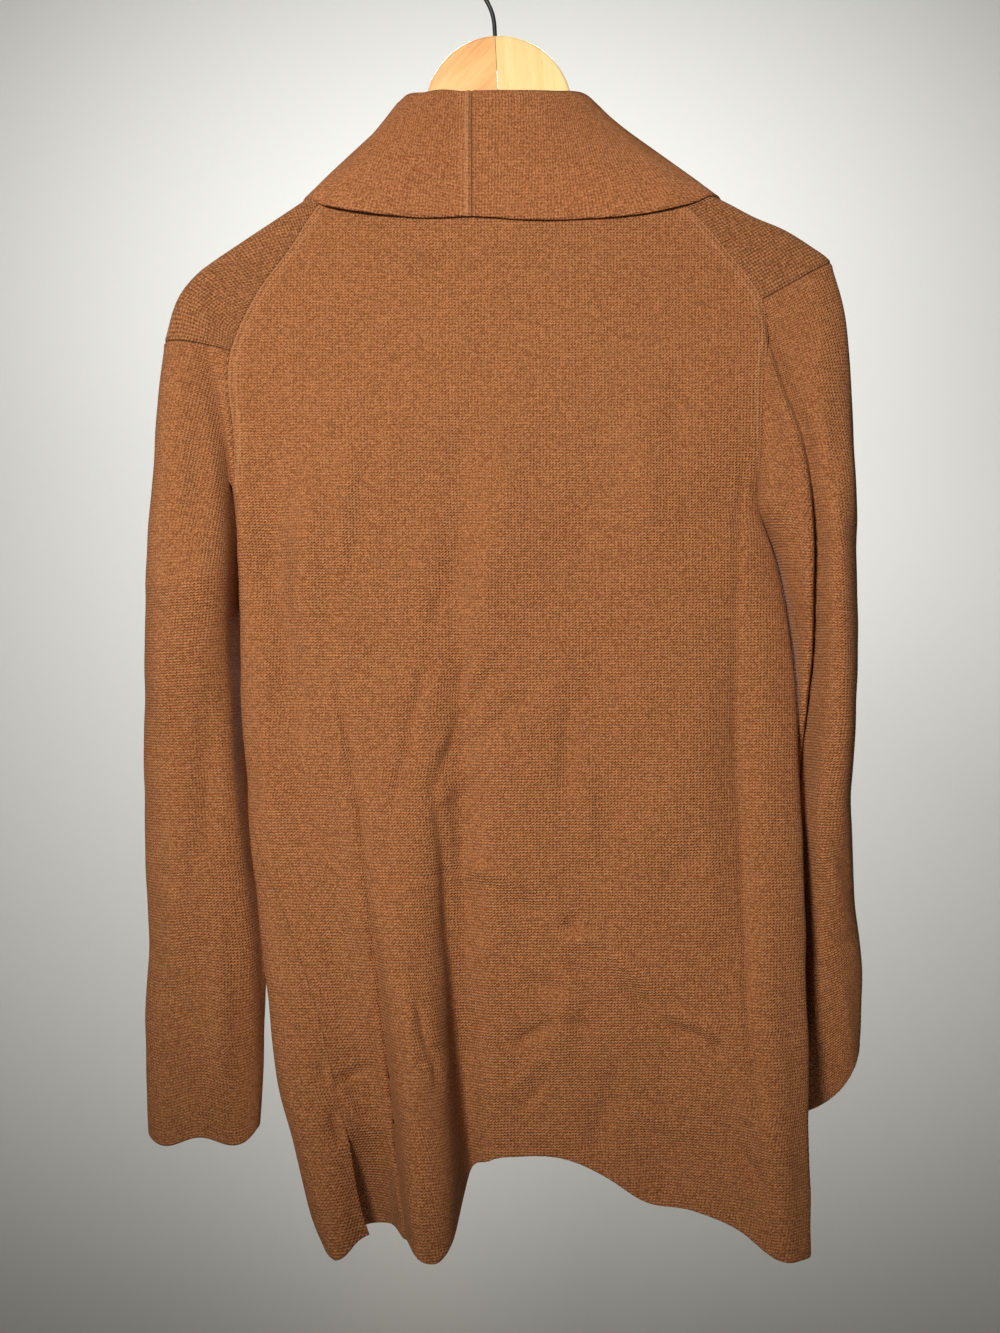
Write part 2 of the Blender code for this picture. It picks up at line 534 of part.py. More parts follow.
def armhole(left, row, end):
    """Points of the armhole, the same as the body's own edge. end: 1 the back, -1 the front."""
    base = 0.0 if left else 180.0
    points = body(row, np.full(len(row), base))
    points[:, 1] *= end
    return points


def saddle(left):
    """Shoulder strip: at each place along the shoulder, half a superellipse from the back seam over the top to
    the front seam. Its last row is the first row of the sleeve."""
    ridge, side = (LEFT_RIDGE, LEFT_SIDE) if left else (RIGHT_RIDGE, RIGHT_SIDE)
    row = SHOULDER_STEPS * SHOULDER_END
    s = SHOULDER_STEPS[:, None]
    turn = np.radians(np.linspace(-90.0, 90.0, 181))[None, :]
    top = np.stack([column(ridge, 1, s) + 0 * turn, column(ridge, 2, s) + 0 * turn], axis=-1)
    seam = armhole(left, row, 1.0)
    foot = np.stack([seam[:, 0], seam[:, 2]], axis=-1)[:, None, :]
    drop = 1.0 - np.abs(np.cos(turn)) ** SADDLE_FLAT
    place = top + (foot - top) * drop[..., None]
    y = seam[:, 1][:, None] * power(np.sin(turn), SADDLE_ROUND)
    grid = even(np.stack([place[..., 0], y, place[..., 1]], axis=-1), ARM_COLUMNS + 1)
    for k, end in ((0, -1.0), (-1, 1.0)):
        grid[:, k] = armhole(left, row, end)
    first = sleeve(left)[0]
    first = first if left else first[::-1]
    grid = grid + (first - grid[-1])[None] * (s**3)[..., None]
    return grid if left else grid[:, ::-1]


# ---------------------------------------------------------------- collar
def neck_edge(left, panels):
    """Points that half the collar is sewn to: half the back neck, the end of the saddle, the front neck, and
    the front edge down to the end of the lapel. Also each point's place along the collar's table."""
    back = panels["back"][0]
    middle = int(round(CENTRE_BACK_SHARE * BACK_COLUMNS))
    lapel = body_rows() <= LAPEL_END
    if left:
        strip, front = panels["left_saddle"][0], panels["left_front"]
        parts = [back[middle::-1], strip[::-1], front[0, ::-1], front[lapel, 0]]
    else:
        strip, front = panels["right_saddle"][0], panels["right_front"]
        parts = [back[middle:], strip, front[0], front[lapel, -1]]
    places = [np.linspace(COLLAR_MARKS[k], COLLAR_MARKS[k + 1], len(part)) for k, part in enumerate(parts)]
    points = np.concatenate([parts[0]] + [part[1:] for part in parts[1:]])
    return points, np.concatenate([places[0]] + [place[1:] for place in places[1:]])


def collar(left, panels):
    """Half of the shawl collar: at each point of the neck edge, a stand up to the fold line, a small round
    over it, and a fall to the outer edge that bows out a little."""
    seam, place = neck_edge(left, panels)
    table = LEFT_COLLAR if left else RIGHT_COLLAR
    roll = np.stack([column(table, k, place) for k in (1, 2, 3)], axis=-1)
    edge = np.stack([column(table, k, place) for k in (4, 5, 6)], axis=-1)
    rise = roll - seam
    height = np.linalg.norm(rise, axis=-1, keepdims=True)
    up = rise / height
    side = edge - roll
    side = side - up * (side * up).sum(-1, keepdims=True)
    side = side / np.linalg.norm(side, axis=-1, keepdims=True)
    bend = np.minimum(ROLL_BEND, ROLL_LIMIT * height)
    turn = roll + side * bend * ROLL_BACK - up * bend
    line = [seam, seam + rise * 0.5, roll - up * bend, roll + side * bend * ROLL_TOP, turn]
    for share in FALL_SHARES:
        line.append(turn + (edge - turn) * share + side * FALL_BOW * math.sin(math.pi * share))
    line = np.stack(line, axis=1)
    knots = np.linspace(0.0, 1.0, line.shape[1])
    fine = np.linspace(0.0, 1.0, 120)
    curve = np.stack([smooth_line(knots, points, fine) for points in line])
    grid = even(curve, COLLAR_COLUMNS + 1)
    return keep_clear(grid, panels, "left" if left else "right")


def smooth_line(knots, points, fine):
    """A smooth curve through points, read at fine steps."""
    table = np.column_stack([knots, points])
    return np.stack([column(table, k, fine) for k in (1, 2, 3)], axis=-1)


def keep_clear(grid, panels, which):
    """Move the fall of the collar out along the normals of the panels that it lies on, where it is too near."""
    clouds, normals = [], []
    for name in ("back", which + "_saddle", which + "_front"):
        points, faces = weld(panels[name].reshape(-1, 3), grid_faces(panels[name]))
        corners = points[np.array([face if len(face) == 4 else face + [face[2]] for face in faces])]
        across = np.cross(corners[:, 2] - corners[:, 0], corners[:, 3] - corners[:, 1])
        size = np.linalg.norm(across, axis=1, keepdims=True)
        solid = size[:, 0] > 1e-6
        for weight in FACE_SAMPLES:
            clouds.append(np.einsum("k,fkc->fc", np.array(weight, float), corners[solid]))
            normals.append(across[solid] / size[solid])
    cloud, normal = np.concatenate(clouds), np.concatenate(normals)
    fall = grid[:, FALL_START:].reshape(-1, 3)
    for _ in range(3):
        near = np.array([np.argmin(((cloud - point) ** 2).sum(axis=1)) for point in fall])
        gap = ((fall - cloud[near]) * normal[near]).sum(axis=1)
        fall = fall + normal[near] * np.maximum(LAPEL_CLEAR - gap, 0.0)[:, None]
    grid = grid.copy()
    grid[:, FALL_START:] = fall.reshape(grid[:, FALL_START:].shape)
    return grid


# ---------------------------------------------------------------- walls
def grid_faces(grid):
    rows, columns = grid.shape[:2]
    index = np.arange(rows * columns).reshape(rows, columns)
    return np.stack([index[:-1, :-1], index[1:, :-1], index[1:, 1:], index[:-1, 1:]], axis=-1).reshape(-1, 4)


def weld(points, faces):
    """Merge equal points, and drop the faces that vanish."""
    key = np.round(points, 4)
    _, first, where = np.unique(key, axis=0, return_index=True, return_inverse=True)
    where = where.reshape(-1)
    merged = []
    for face in where[faces]:
        short = [int(v) for k, v in enumerate(face) if v != face[k - 1]]
        if len(short) > 2:
            merged.append(short)
    return points[first], merged


def vertex_normals(points, faces):
    """Sum of the normals of the faces round each point, weighted by their area."""
    total = np.zeros_like(points)
    for face in faces:
        p = points[face]
        normal = sum((np.cross(p[k - 1] - p[0], p[k] - p[0]) for k in range(2, len(face))), np.zeros(3))
        total[face] += normal
    return total


def cloth_walls(panels):
    """Give each panel its wall. The collar is turned over, so its outer face is the cloth's other one."""
    shared, prepared, body_points = {}, {}, set()
    for name, grid in panels.items():
        sign = -1.0 if name.startswith("collar") else 1.0
        points, faces = weld(grid.reshape(-1, 3), grid_faces(grid))
        normals = vertex_normals(points, faces)
        prepared[name] = (points, faces, sign)
        if sign > 0.0:
            body_points.update(map(tuple, np.round(points, 4) + 0.0))
        for place, normal in zip(map(tuple, np.round(points, 4) + 0.0), normals):
            shared[place] = shared.get(place, np.zeros(3)) + sign * normal
    walls = {}
    for name, (points, faces, sign) in prepared.items():
        normals = np.array([shared[tuple(p)] for p in np.round(points, 4) + 0.0]) * sign
        normals /= np.maximum(np.linalg.norm(normals, axis=1, keepdims=True), 1e-9)
        sewn = np.array([tuple(p) in body_points for p in np.round(points, 4) + 0.0])
        amount = np.where(sewn & (sign < 0.0), COLLAR_PULL, SEAM_GAP / 2.0)
        points = pull_in(points, faces, normals, amount)
        walls[name] = thicken(points, faces, normals)
    return walls


def rim(faces):
    """Edges that belong to one face only, in that face's direction."""
    edges = {}
    for face in faces:
        for k, b in enumerate(face):
            a = face[k - 1]
            if (b, a) in edges:
                del edges[(b, a)]
            else:
                edges[(a, b)] = face
    return list(edges)


def pull_in(points, faces, normals, amount):
    """Move the rim towards the panel's inside."""
    shift = np.zeros_like(points)
    for a, b in rim(faces):
        inward = np.cross(normals[a] + normals[b], points[b] - points[a])
        inward /= max(np.linalg.norm(inward), 1e-9)
        shift[a] += inward
        shift[b] += inward
    size = np.linalg.norm(shift, axis=1, keepdims=True)
    moved = size[:, 0] > 1e-6
    unit = shift[moved] / size[moved]
    # at a corner the two edges ask for more than one share
    stretch = 2.0 / np.clip(size[moved], 0.9, 2.0)
    points = points.copy()
    points[moved] += unit * stretch * amount[moved, None]
    return points


def thicken(points, faces, normals):
    count = len(points)
    outer = points + normals * WALL / 2.0
    inner = points - normals * WALL / 2.0
    skin = [tuple(face) for face in faces] + [tuple(v + count for v in reversed(face)) for face in faces]
    skin += [(b, a, a + count, b + count) for a, b in rim(faces)]
    return np.concatenate([outer, inner]), skin


# ---------------------------------------------------------------- objects
def material(name, colour, roughness):
    made = bpy.data.materials.new(name)
    made.use_nodes = True
    shader = made.node_tree.nodes["Principled BSDF"]
    shader.inputs["Base Color"].default_value = (*colour, 1.0)
    shader.inputs["Roughness"].default_value = roughness
    return made


def mesh_object(name, points, faces, finish):
    mesh = bpy.data.meshes.new(name)
    mesh.from_pydata([tuple(p) for p in np.asarray(points) * MM], [], faces)
    mesh.validate()
    made = bpy.data.objects.new(name, mesh)
    bpy.context.collection.objects.link(made)
    made.data.materials.append(finish)


def cloth():
    panels = {
        "back": back_panel(),
        "left_front": front_panel(True),
        "right_front": front_panel(False),
        "left_sleeve": sleeve(True),
        "right_sleeve": sleeve(False),
        "left_saddle": saddle(True),
        "right_saddle": saddle(False),
    }
    left, right = collar(True, panels), collar(False, panels)
    panels["collar_left"] = left
    panels["collar_right"] = right[::-1]
    return panels


def smooth_path(points, count):
    """A smooth curve through points, by the distance between them."""
    points = np.array(points, float)
    run = np.concatenate([[0.0], np.cumsum(np.linalg.norm(np.diff(points, axis=0), axis=1))])
    table = np.column_stack([run, points])
    fine = np.linspace(0.0, run[-1], count)
    return np.stack([column(table, k + 1, fine) for k in range(points.shape[1])], axis=-1)


def arc(centre, radius, start, stop, count):
    angle = np.radians(np.linspace(start, stop, count))
    return np.stack([centre[0] + radius * np.cos(angle), centre[1] + radius * np.sin(angle)], axis=-1)


def wood_outline():
    """Outline of one half of the hanger, in its own X and Z with the top of the wood at zero: hump, arm, round
    tip and underside."""
    hump = arc((0.0, -HUMP), HUMP, 90.0, 90.0 - HUMP_TURN, 12)
    top = smooth_path([tuple(hump[-1])] + ARM_TOP, 22)[1:-1]
    tip = arc(TIP_CENTRE, TIP_RADIUS, 112.0, -90.0, 10)
    under = smooth_path([tuple(tip[-1])] + ARM_UNDER, 14)[1:]
    return np.concatenate([hump, top, tip, under])


def place_on_hanger(made):
    made.location = (WOOD_TOP[0] * MM, 0.0, WOOD_TOP[1] * MM)
    made.rotation_euler = (0.0, math.radians(HANGER_TILT), 0.0)


def wood_half(name, side, colour):
    """One half of the hanger: its outline, half a gap from the joint, extruded and rounded on its edges."""
    outline = wood_outline()
    outline[:, 0] = np.maximum(outline[:, 0], SEAM_GAP / 2.0) * side
    made = bmesh.new()
    ring = [made.verts.new((x * MM, -HANGER_THICK / 2.0 * MM, z * MM)) for x, z in outline]
    face = made.faces.new(ring)
    moved = bmesh.ops.extrude_face_region(made, geom=[face])["geom"]
    top = [v for v in moved if isinstance(v, bmesh.types.BMVert)]
    bmesh.ops.translate(made, verts=top, vec=(0.0, HANGER_THICK * MM, 0.0))
    bmesh.ops.recalc_face_normals(made, faces=made.faces)
    broad = [f for f in made.faces if len(f.verts) > 4]
    edges = [e for f in broad for e in f.edges
             if max(abs(v.co.x) for v in e.verts) > SEAM_GAP * MM]
    bmesh.ops.bevel(made, geom=edges, offset=WOOD_ROUND * MM, segments=2, profile=0.5, affect="EDGES")
    bmesh.ops.triangulate(made, faces=[f for f in made.faces if len(f.verts) > 4])
    mesh = bpy.data.meshes.new(name)
    made.to_mesh(mesh)
    made.free()
    wood = bpy.data.objects.new(name, mesh)
    bpy.context.collection.objects.link(wood)
    wood.data.materials.append(material(name + " wood", colour, 0.45))
    place_on_hanger(wood)
    return wood


def hook_line():
    """Centre line of the hook, in the hanger's own X and Z: a straight shank out of the wood, a bend to one
    side, and a loop about the point under the origin. The bend and the loop touch where one becomes the
    other."""
    tilt = math.radians(HANGER_TILT)
    across, up = -WOOD_TOP[0], -WOOD_TOP[1] - HOOK_BEND + HOOK_WIRE
    loop = (across * math.cos(tilt) - up * math.sin(tilt), across * math.sin(tilt) + up * math.cos(tilt))
    reach = SHANK_BEND + HOOK_BEND
    bend = (SHANK_BEND, loop[1] - math.sqrt(reach**2 - (SHANK_BEND - loop[0]) ** 2))
    meet = math.degrees(math.atan2(bend[1] - loop[1], bend[0] - loop[0]))
    shank = np.array([(0.0, -SHANK_DEPTH), (0.0, -0.5 * SHANK_DEPTH)])
    lower = arc(bend, SHANK_BEND, 180.0, 180.0 + meet, 10)
    upper = arc(loop, HOOK_BEND, meet, HOOK_END, 30)[1:]
    return np.concatenate([shank, lower, upper])


def hook():
    line = hook_line()
    curve = bpy.data.curves.new("hook", "CURVE")
    curve.dimensions = "3D"
    curve.bevel_depth = HOOK_WIRE * MM
    curve.bevel_resolution = 2
    curve.use_fill_caps = True
    spline = curve.splines.new("POLY")
    spline.points.add(len(line) - 1)
    for point, (x, z) in zip(spline.points, line):
        point.co = (x * MM, 0.0, z * MM, 1.0)
    made = bpy.data.objects.new("hook", curve)
    bpy.context.collection.objects.link(made)
    curve.materials.append(material("black hook wire", HOOK_COLOUR, 0.35))
    place_on_hanger(made)


def shank_hole():
    """Cutter for the hole that the shank sits in, half in each piece of wood."""
    bpy.ops.mesh.primitive_cylinder_add(vertices=12, radius=(HOOK_WIRE + SHANK_CLEAR) * MM,
                                        depth=4.0 * SHANK_DEPTH * MM)
    cutter = bpy.context.object
    cutter.name = "shank hole"
    for vertex in cutter.data.vertices:
        vertex.co.z += (SHANK_DEPTH - SEAM_GAP) * MM
    cutter.display_type = "WIRE"
    cutter.hide_render = True
    place_on_hanger(cutter)
    return cutter


def hanger():
    cutter = shank_hole()
    for name, side, colour in HANGER_HALVES:
        cut = wood_half(name, side, colour).modifiers.new("shank hole", "BOOLEAN")
        cut.operation = "DIFFERENCE"
        cut.solver = "EXACT"
        cut.object = cutter
    hook()


def main():
    for old in list(bpy.data.objects):
        bpy.data.objects.remove(old, do_unlink=True)
    panels = cloth()
    for name, (points, faces) in cloth_walls(panels).items():
        kind = "saddle knit" if name.endswith("saddle") else "knit"
        colour, roughness = CLOTH[kind]
        mesh_object(name, points, faces, material(name + " knit", colour, roughness))
    hanger()


main()
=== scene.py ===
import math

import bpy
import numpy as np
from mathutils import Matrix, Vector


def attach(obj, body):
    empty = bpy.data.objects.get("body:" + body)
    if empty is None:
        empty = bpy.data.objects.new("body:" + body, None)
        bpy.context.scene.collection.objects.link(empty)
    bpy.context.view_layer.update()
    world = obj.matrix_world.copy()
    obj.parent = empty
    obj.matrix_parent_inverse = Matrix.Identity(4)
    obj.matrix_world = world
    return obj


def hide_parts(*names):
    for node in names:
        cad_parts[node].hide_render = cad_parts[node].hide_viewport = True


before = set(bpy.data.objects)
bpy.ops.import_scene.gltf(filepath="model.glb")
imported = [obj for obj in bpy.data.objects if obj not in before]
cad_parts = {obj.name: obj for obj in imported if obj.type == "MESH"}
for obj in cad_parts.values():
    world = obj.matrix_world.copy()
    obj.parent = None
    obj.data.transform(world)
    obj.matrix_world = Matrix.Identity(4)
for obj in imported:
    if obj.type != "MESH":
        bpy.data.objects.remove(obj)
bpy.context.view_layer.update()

# %% [markdown]
# # A knit blazer on its hanger
# The real thing is a soft, open blazer in a camel-brown wool knit, hung by its shoulders on a flat wooden
# hanger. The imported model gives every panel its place, but as a coarse faceted wall. Here each panel is
# worked out again on a fine grid from the same tables, gets its creases and its seams, and is given
# thickness. Surfaces on grids are the right tool for cloth: the two directions of the grid are the wales
# and the courses of the knit, so the stitch pattern can follow them.

MM = 0.001
WALL = 2.0              # thickness of the knit, in millimetres like every length below
TINY = 1e-9             # guards a comparison or a division

# %% [markdown]
# ## Tools for curves
# Every shape here is read from a short table of sizes. A cubic Hermite curve through a table's rows gives
# a smooth value at any place between them, and works on whole arrays at once.


# %% Reading a table, and easing
def column(table, place, at):
    """Read one column of a table at any places: a cubic Hermite curve through its rows, where each slope is
    that of the two rows beside it."""
    x, y = table[:, 0], table[:, place]
    if x[0] > x[-1]:
        x, y = x[::-1], y[::-1]
    at = np.clip(at, x[0], x[-1])
    slope = np.gradient(y, x)
    i = np.clip(np.searchsorted(x, at, side="right") - 1, 0, len(x) - 2)
    h = x[i + 1] - x[i]
    t = (at - x[i]) / h
    return ((2 * t**3 - 3 * t**2 + 1) * y[i] + (t**3 - 2 * t**2 + t) * h * slope[i]
            + (3 * t**2 - 2 * t**3) * y[i + 1] + (t**3 - t**2) * h * slope[i + 1])


def smooth(t):
    """0 to 1 with no kink at either end: 3 t squared less 2 t cubed."""
    t = np.clip(t, 0.0, 1.0)
    return t * t * (3.0 - 2.0 * t)


def power(value, exponent):
    """A power that keeps the sign, as a superellipse needs."""
    return np.sign(value) * np.abs(value) ** exponent


print("half way up the ease:", smooth(0.5))

# %% [markdown]
# ## Spacing the points of a grid
# A seam is a groove about a millimetre wide, while the cloth beside it is smooth for hundreds. So each row
# of a panel has a few close points at both edges and even ones between. All rows are read in one
# interpolation, by laying them one after another on a single long line.

# %% Rows with close points at both edges
CLOSE = np.array([0.0, 0.8, 1.6, 2.6, 4.0])     # distances of the close points from an edge
SHORT_ROW = 4.0         # a row shorter than this many times the close stretch draws its close points together
ROW_APART = 1e5         # how far apart the rows are laid on the long line


def runs(grid):
    """Length along each row of a grid, from its start to each point."""
    step = np.linalg.norm(np.diff(grid, axis=1), axis=-1)
    return np.concatenate([np.zeros((len(grid), 1)), np.cumsum(step, axis=1)], axis=1)


def spread(grid, count):
    """The same rows, each with `count` points: close ones at both edges, drawn together on a short row, and
    even ones between."""
    run = runs(grid)
    length = run[:, -1:]
    close = CLOSE * np.minimum(1.0, length / (SHORT_ROW * CLOSE[-1]))
    middle = np.linspace(0.0, 1.0, count - 2 * len(CLOSE) + 2)[None, 1:-1]
    inner = close[:, -1:] + (length - 2.0 * close[:, -1:]) * middle
    at = np.concatenate([close, inner, length - close[:, ::-1]], axis=1)
    far = np.arange(len(grid))[:, None] * ROW_APART
    to, where = (at + far).ravel(), (run + far).ravel()
    return np.stack([np.interp(to, where, grid[..., k].ravel()).reshape(at.shape) for k in range(3)], axis=-1)


def steps(length, count, start=True, stop=True):
    """Shares 0 to 1 of a length, even but for the close points where an edge is finished at its start or
    stop."""
    close = CLOSE / length
    low, high = (close if start else close[:1]), (1.0 - close[::-1] if stop else np.ones(1))
    return np.concatenate([low, np.linspace(low[-1], high[0], count)[1:-1], high])


print("points on a 100 mm edge:", len(steps(100.0, 30)))

# %% [markdown]
# ## The body's shape
# A hung blazer is a flattened tube. Each level is a superellipse between a left and a right side line,
# held open at the armholes. Its depth, the slant of its hem, the deep fold beside the centre back and the
# soft folds elsewhere are added from tables. X runs across with the wearer's left at +X, the back faces
# +Y, and Z is up.

# %% Tables of the body, in millimetres
SHOULDER_END = 0.20     # row parameter where the saddle meets the sleeve
UNDERARM = 0.36         # row parameter of the underarm
VENT_TOP = 0.84         # row parameter of the top of the side vents

# Side line of the body. row: row parameter. x, z: where the panel ends. open: half the depth of the armhole
# there. side_y: how far the side stands towards the back.
LEFT_SIDE = np.array([
    # row,   x,     z,   open, side_y
    (0.00,  77.0, -168.5,  9.0,  0.0),
    (0.05, 111.0, -190.5, 10.0,  0.0),
    (0.10, 134.0, -224.0, 11.0,  0.0),
    (0.15, 156.5, -255.0, 11.5,  0.0),
    (0.20, 173.3, -293.5, 12.0,  0.0),
    (0.28, 171.2, -360.0, 13.0,  0.0),
    (0.33, 170.5, -418.0,  9.0,  0.0),
    (0.36, 170.2, -446.0,  0.0,  0.0),
    (0.45, 167.0, -532.0,  0.0,  1.0),
    (0.55, 160.0, -618.0,  0.0,  5.0),
    (0.65, 150.5, -700.0,  0.0, 11.0),
    (0.75, 142.0, -770.0,  0.0, 16.0),
    (0.85, 128.0, -826.0,  0.0, 21.0),
    (0.93, 116.0, -868.0,  0.0, 24.0),
    (1.00, 106.0, -892.0,  0.0, 26.0),
])
RIGHT_SIDE = np.array([
    # row,    x,      z,   open, side_y
    (0.00,  -76.5, -160.5,  9.0,  0.0),
    (0.05, -112.0, -179.0, 10.0,  0.0),
    (0.10, -139.0, -198.0, 10.5,  0.0),
    (0.15, -163.0, -225.0, 11.0,  0.0),
    (0.20, -186.5, -258.5, 12.0,  0.0),
    (0.28, -187.0, -320.0, 13.0,  0.0),
    (0.33, -185.8, -368.0,  9.0,  0.0),
    (0.36, -184.8, -397.0,  0.0,  0.0),
    (0.40, -196.0, -434.0,  0.0,  0.0),
    (0.45, -206.5, -486.0,  0.0,  0.0),
    (0.55, -212.0, -582.0,  0.0,  3.0),
    (0.65, -215.0, -668.0,  0.0,  8.0),
    (0.75, -215.5, -745.0,  0.0, 15.0),
    (0.85, -215.0, -817.0,  0.0, 20.0),
    (1.00, -215.5, -896.0,  0.0, 24.0),
])

# Depth of the body. back, front: how far the cloth stands from the middle. flat: superellipse power, where
# a larger number is a flatter tube.
BODY_DEPTH = np.array([
    # row, back, front, flat
    (0.00, 10.0, 11.0, 4.0),
    (0.20, 13.5, 13.0, 3.6),
    (0.36, 24.0, 22.0, 3.0),
    (0.50, 27.0, 25.0, 2.8),
    (0.70, 25.0, 26.0, 2.8),
    (0.83, 22.0, 25.0, 2.8),
    (1.00, 20.0, 24.0, 2.8),
])
# Side seams. left, right: degrees that each lies round from the side, towards the back. Below zero it is
# towards the front.
SIDE_SEAMS = np.array([
    # row, left, right
    (0.36,  0.0,   0.0), (0.47,  2.0,  -2.0), (0.55, 14.0, -5.0), (0.62, 31.0, -8.0), (0.70, 41.0, -11.0),
    (0.84, 45.0, -12.0), (1.00, 44.0, -12.0),
])

# %% Tables of the folds
# The pleat beside the centre back and the roll at the left side. right, left: X of its flanks. out: how
# far it stands out. right_soft, left_soft: half the width over which each flank turns.
PLEAT = np.array([
    #   z,   right,  left,  out, right_soft, left_soft
    (-500.0,  34.0, 103.0,  0.0, 24.0, 26.0),
    (-560.0,  35.0,  95.0,  4.0, 18.0, 24.0),
    (-615.0,  34.0,  84.0,  9.0, 13.0, 18.0),
    (-680.0,  32.0,  76.0, 16.0, 10.0, 13.0),
    (-745.0,  27.5,  67.0, 25.0,  7.5,  9.5),
    (-820.0,  19.5,  57.0, 36.0,  5.0,  6.0),
    (-900.0,  17.5,  50.0, 45.0,  4.0,  4.0),
])
SIDE_ROLL = np.array([
    #   z,   right,  left,  out, right_soft, left_soft
    (-640.0, 118.0, 400.0,  0.0, 20.0, 20.0),
    (-700.0, 112.0, 400.0,  3.0, 18.0, 20.0),
    (-760.0, 103.0, 400.0,  8.0, 15.0, 20.0),
    (-820.0,  92.0, 400.0, 14.0, 11.0, 20.0),
    (-900.0,  82.0, 400.0, 18.0,  8.0, 20.0),
])

# Soft folds of the body. out: how far it stands out at its middle, and low_out at its lower end. A trough
# is negative. side: which layer it is on, 1 the back and -1 the front.
SOFT_FOLDS = [
    # name,               side, x_top, z_top, x_low, z_low, half_width, out, low_out
    ("valley by the pleat", 1,  20.0, -350.0,  14.0, -905.0, 12.0, -5.0, -11.0),
    ("centre trough",       1, -68.0, -330.0, -72.0, -700.0, 26.0, -3.5,   0.0),
    ("right crease",        1, -168.0, -420.0, -172.0, -800.0, 15.0, -7.0, 0.0),
    ("right hem roll",      1, -176.0, -640.0, -196.0, -905.0, 20.0, 2.0, 12.0),
    ("right hem hollow",    1, -120.0, -700.0, -118.0, -905.0, 24.0, -2.0, -6.0),
    ("left upper trough",   1, 152.0, -330.0, 128.0, -580.0, 15.0, -5.0,   0.0),
    ("left upper ridge",    1, 112.0, -330.0, 112.0, -560.0, 14.0, 3.5,    0.0),
    ("left front fold",    -1, 118.0, -420.0, 104.0, -905.0, 22.0, 6.0,  10.0),
    ("left front trough",  -1,  84.0, -480.0,  70.0, -905.0, 18.0, -5.0, -8.0),
    ("right front fold",   -1, -110.0, -480.0, -104.0, -905.0, 22.0, 6.0, 8.0),
    ("right front trough", -1, -150.0, -480.0, -148.0, -905.0, 20.0, -5.0, -7.0),
]
PLEAT_FADE = 2.5        # how soon the pleat and the roll come in from a side
FOLD_FADE = 2.0         # how soon a soft fold does

# Side vents. move: how far each free edge moves at the hem in X, Y and Z. reach: over how much cloth.
VENT_SPEED = 0.5        # exponent of how fast they part, where less is faster
LEFT_VENT_BACK = ((10.0, -24.0, 1.0), 28.0)
LEFT_VENT_FRONT = ((5.0, 5.0, 5.0), 27.0)
RIGHT_VENT_BACK = ((1.0, 6.0, 0.0), 20.0)
RIGHT_VENT_FRONT = ((1.0, -5.0, 0.0), 20.0)

# %% Tables of the edges
# Lower edge of the back and of the fronts, from the wearer's left to right.
BACK_HEM = np.array([
    #  x,      z
    (107.0, -892.0), (98.0, -895.0), (80.0, -889.0), (64.0, -885.0), (50.0, -883.0), (38.0, -889.0),
    (28.0, -888.0), (20.0, -877.0), (13.0, -852.0), (-2.0, -839.0), (-22.0, -836.0), (-50.0, -837.0),
    (-80.0, -850.0), (-108.0, -868.0), (-140.0, -872.0), (-168.0, -882.0), (-190.0, -896.0), (-216.0, -899.0),
])
FRONT_HEM = np.array([
    #  x,      z
    (107.0, -893.0), (84.0, -884.0), (60.0, -868.0), (24.0, -842.0), (-50.0, -836.0), (-90.0, -846.0),
    (-140.0, -866.0), (-190.0, -884.0), (-216.0, -894.0),
])

# Inner edges of the open fronts. The neck runs down from the shoulder to where the front edge starts.
FRONT_EDGE = np.array([
    # row, left_x, right_x
    (0.00, 69.0, -69.0), (0.20, 66.0, -67.0), (0.36, 57.0, -61.0), (0.60, 44.0, -54.0), (0.80, 33.0, -50.0),
    (1.00, 24.0, -48.0),
])
NECK_DROP = 18.0        # height of the front neck edge below the shoulder
BACK_NECK_RISE = 10.0   # of the back neck edge above its corners
HEM_POWER = 1.6         # how late the rows take on the hem's shape
FRONT_SIDE = 1e-5       # degrees past the side that count as the front layer


# %% One point of the body for each row and angle
def bulge(table, x, z):
    """How far a hanging fold stands out: half the difference of two hyperbolic tangents, one at each
    flank."""
    right, left, out, right_soft, left_soft = (column(table, k, z) for k in range(1, 6))
    step = np.tanh((x - right) / right_soft) - np.tanh((x - left) / left_soft)
    return 0.5 * out * step * (z < table[0, 0])


def fold(x, z, x_top, z_top, x_low, z_low, half_width, out, low_out):
    """A soft fold along a line: a Gaussian bell across it, growing from nothing at its top."""
    t = np.clip((z_top - z) / (z_top - z_low), 0.0, 1.0)
    middle = x_top + (x_low - x_top) * t
    height = out * np.sin(math.pi * t) + low_out * smooth(t)
    return height * np.exp(-((x - middle) / half_width) ** 2)


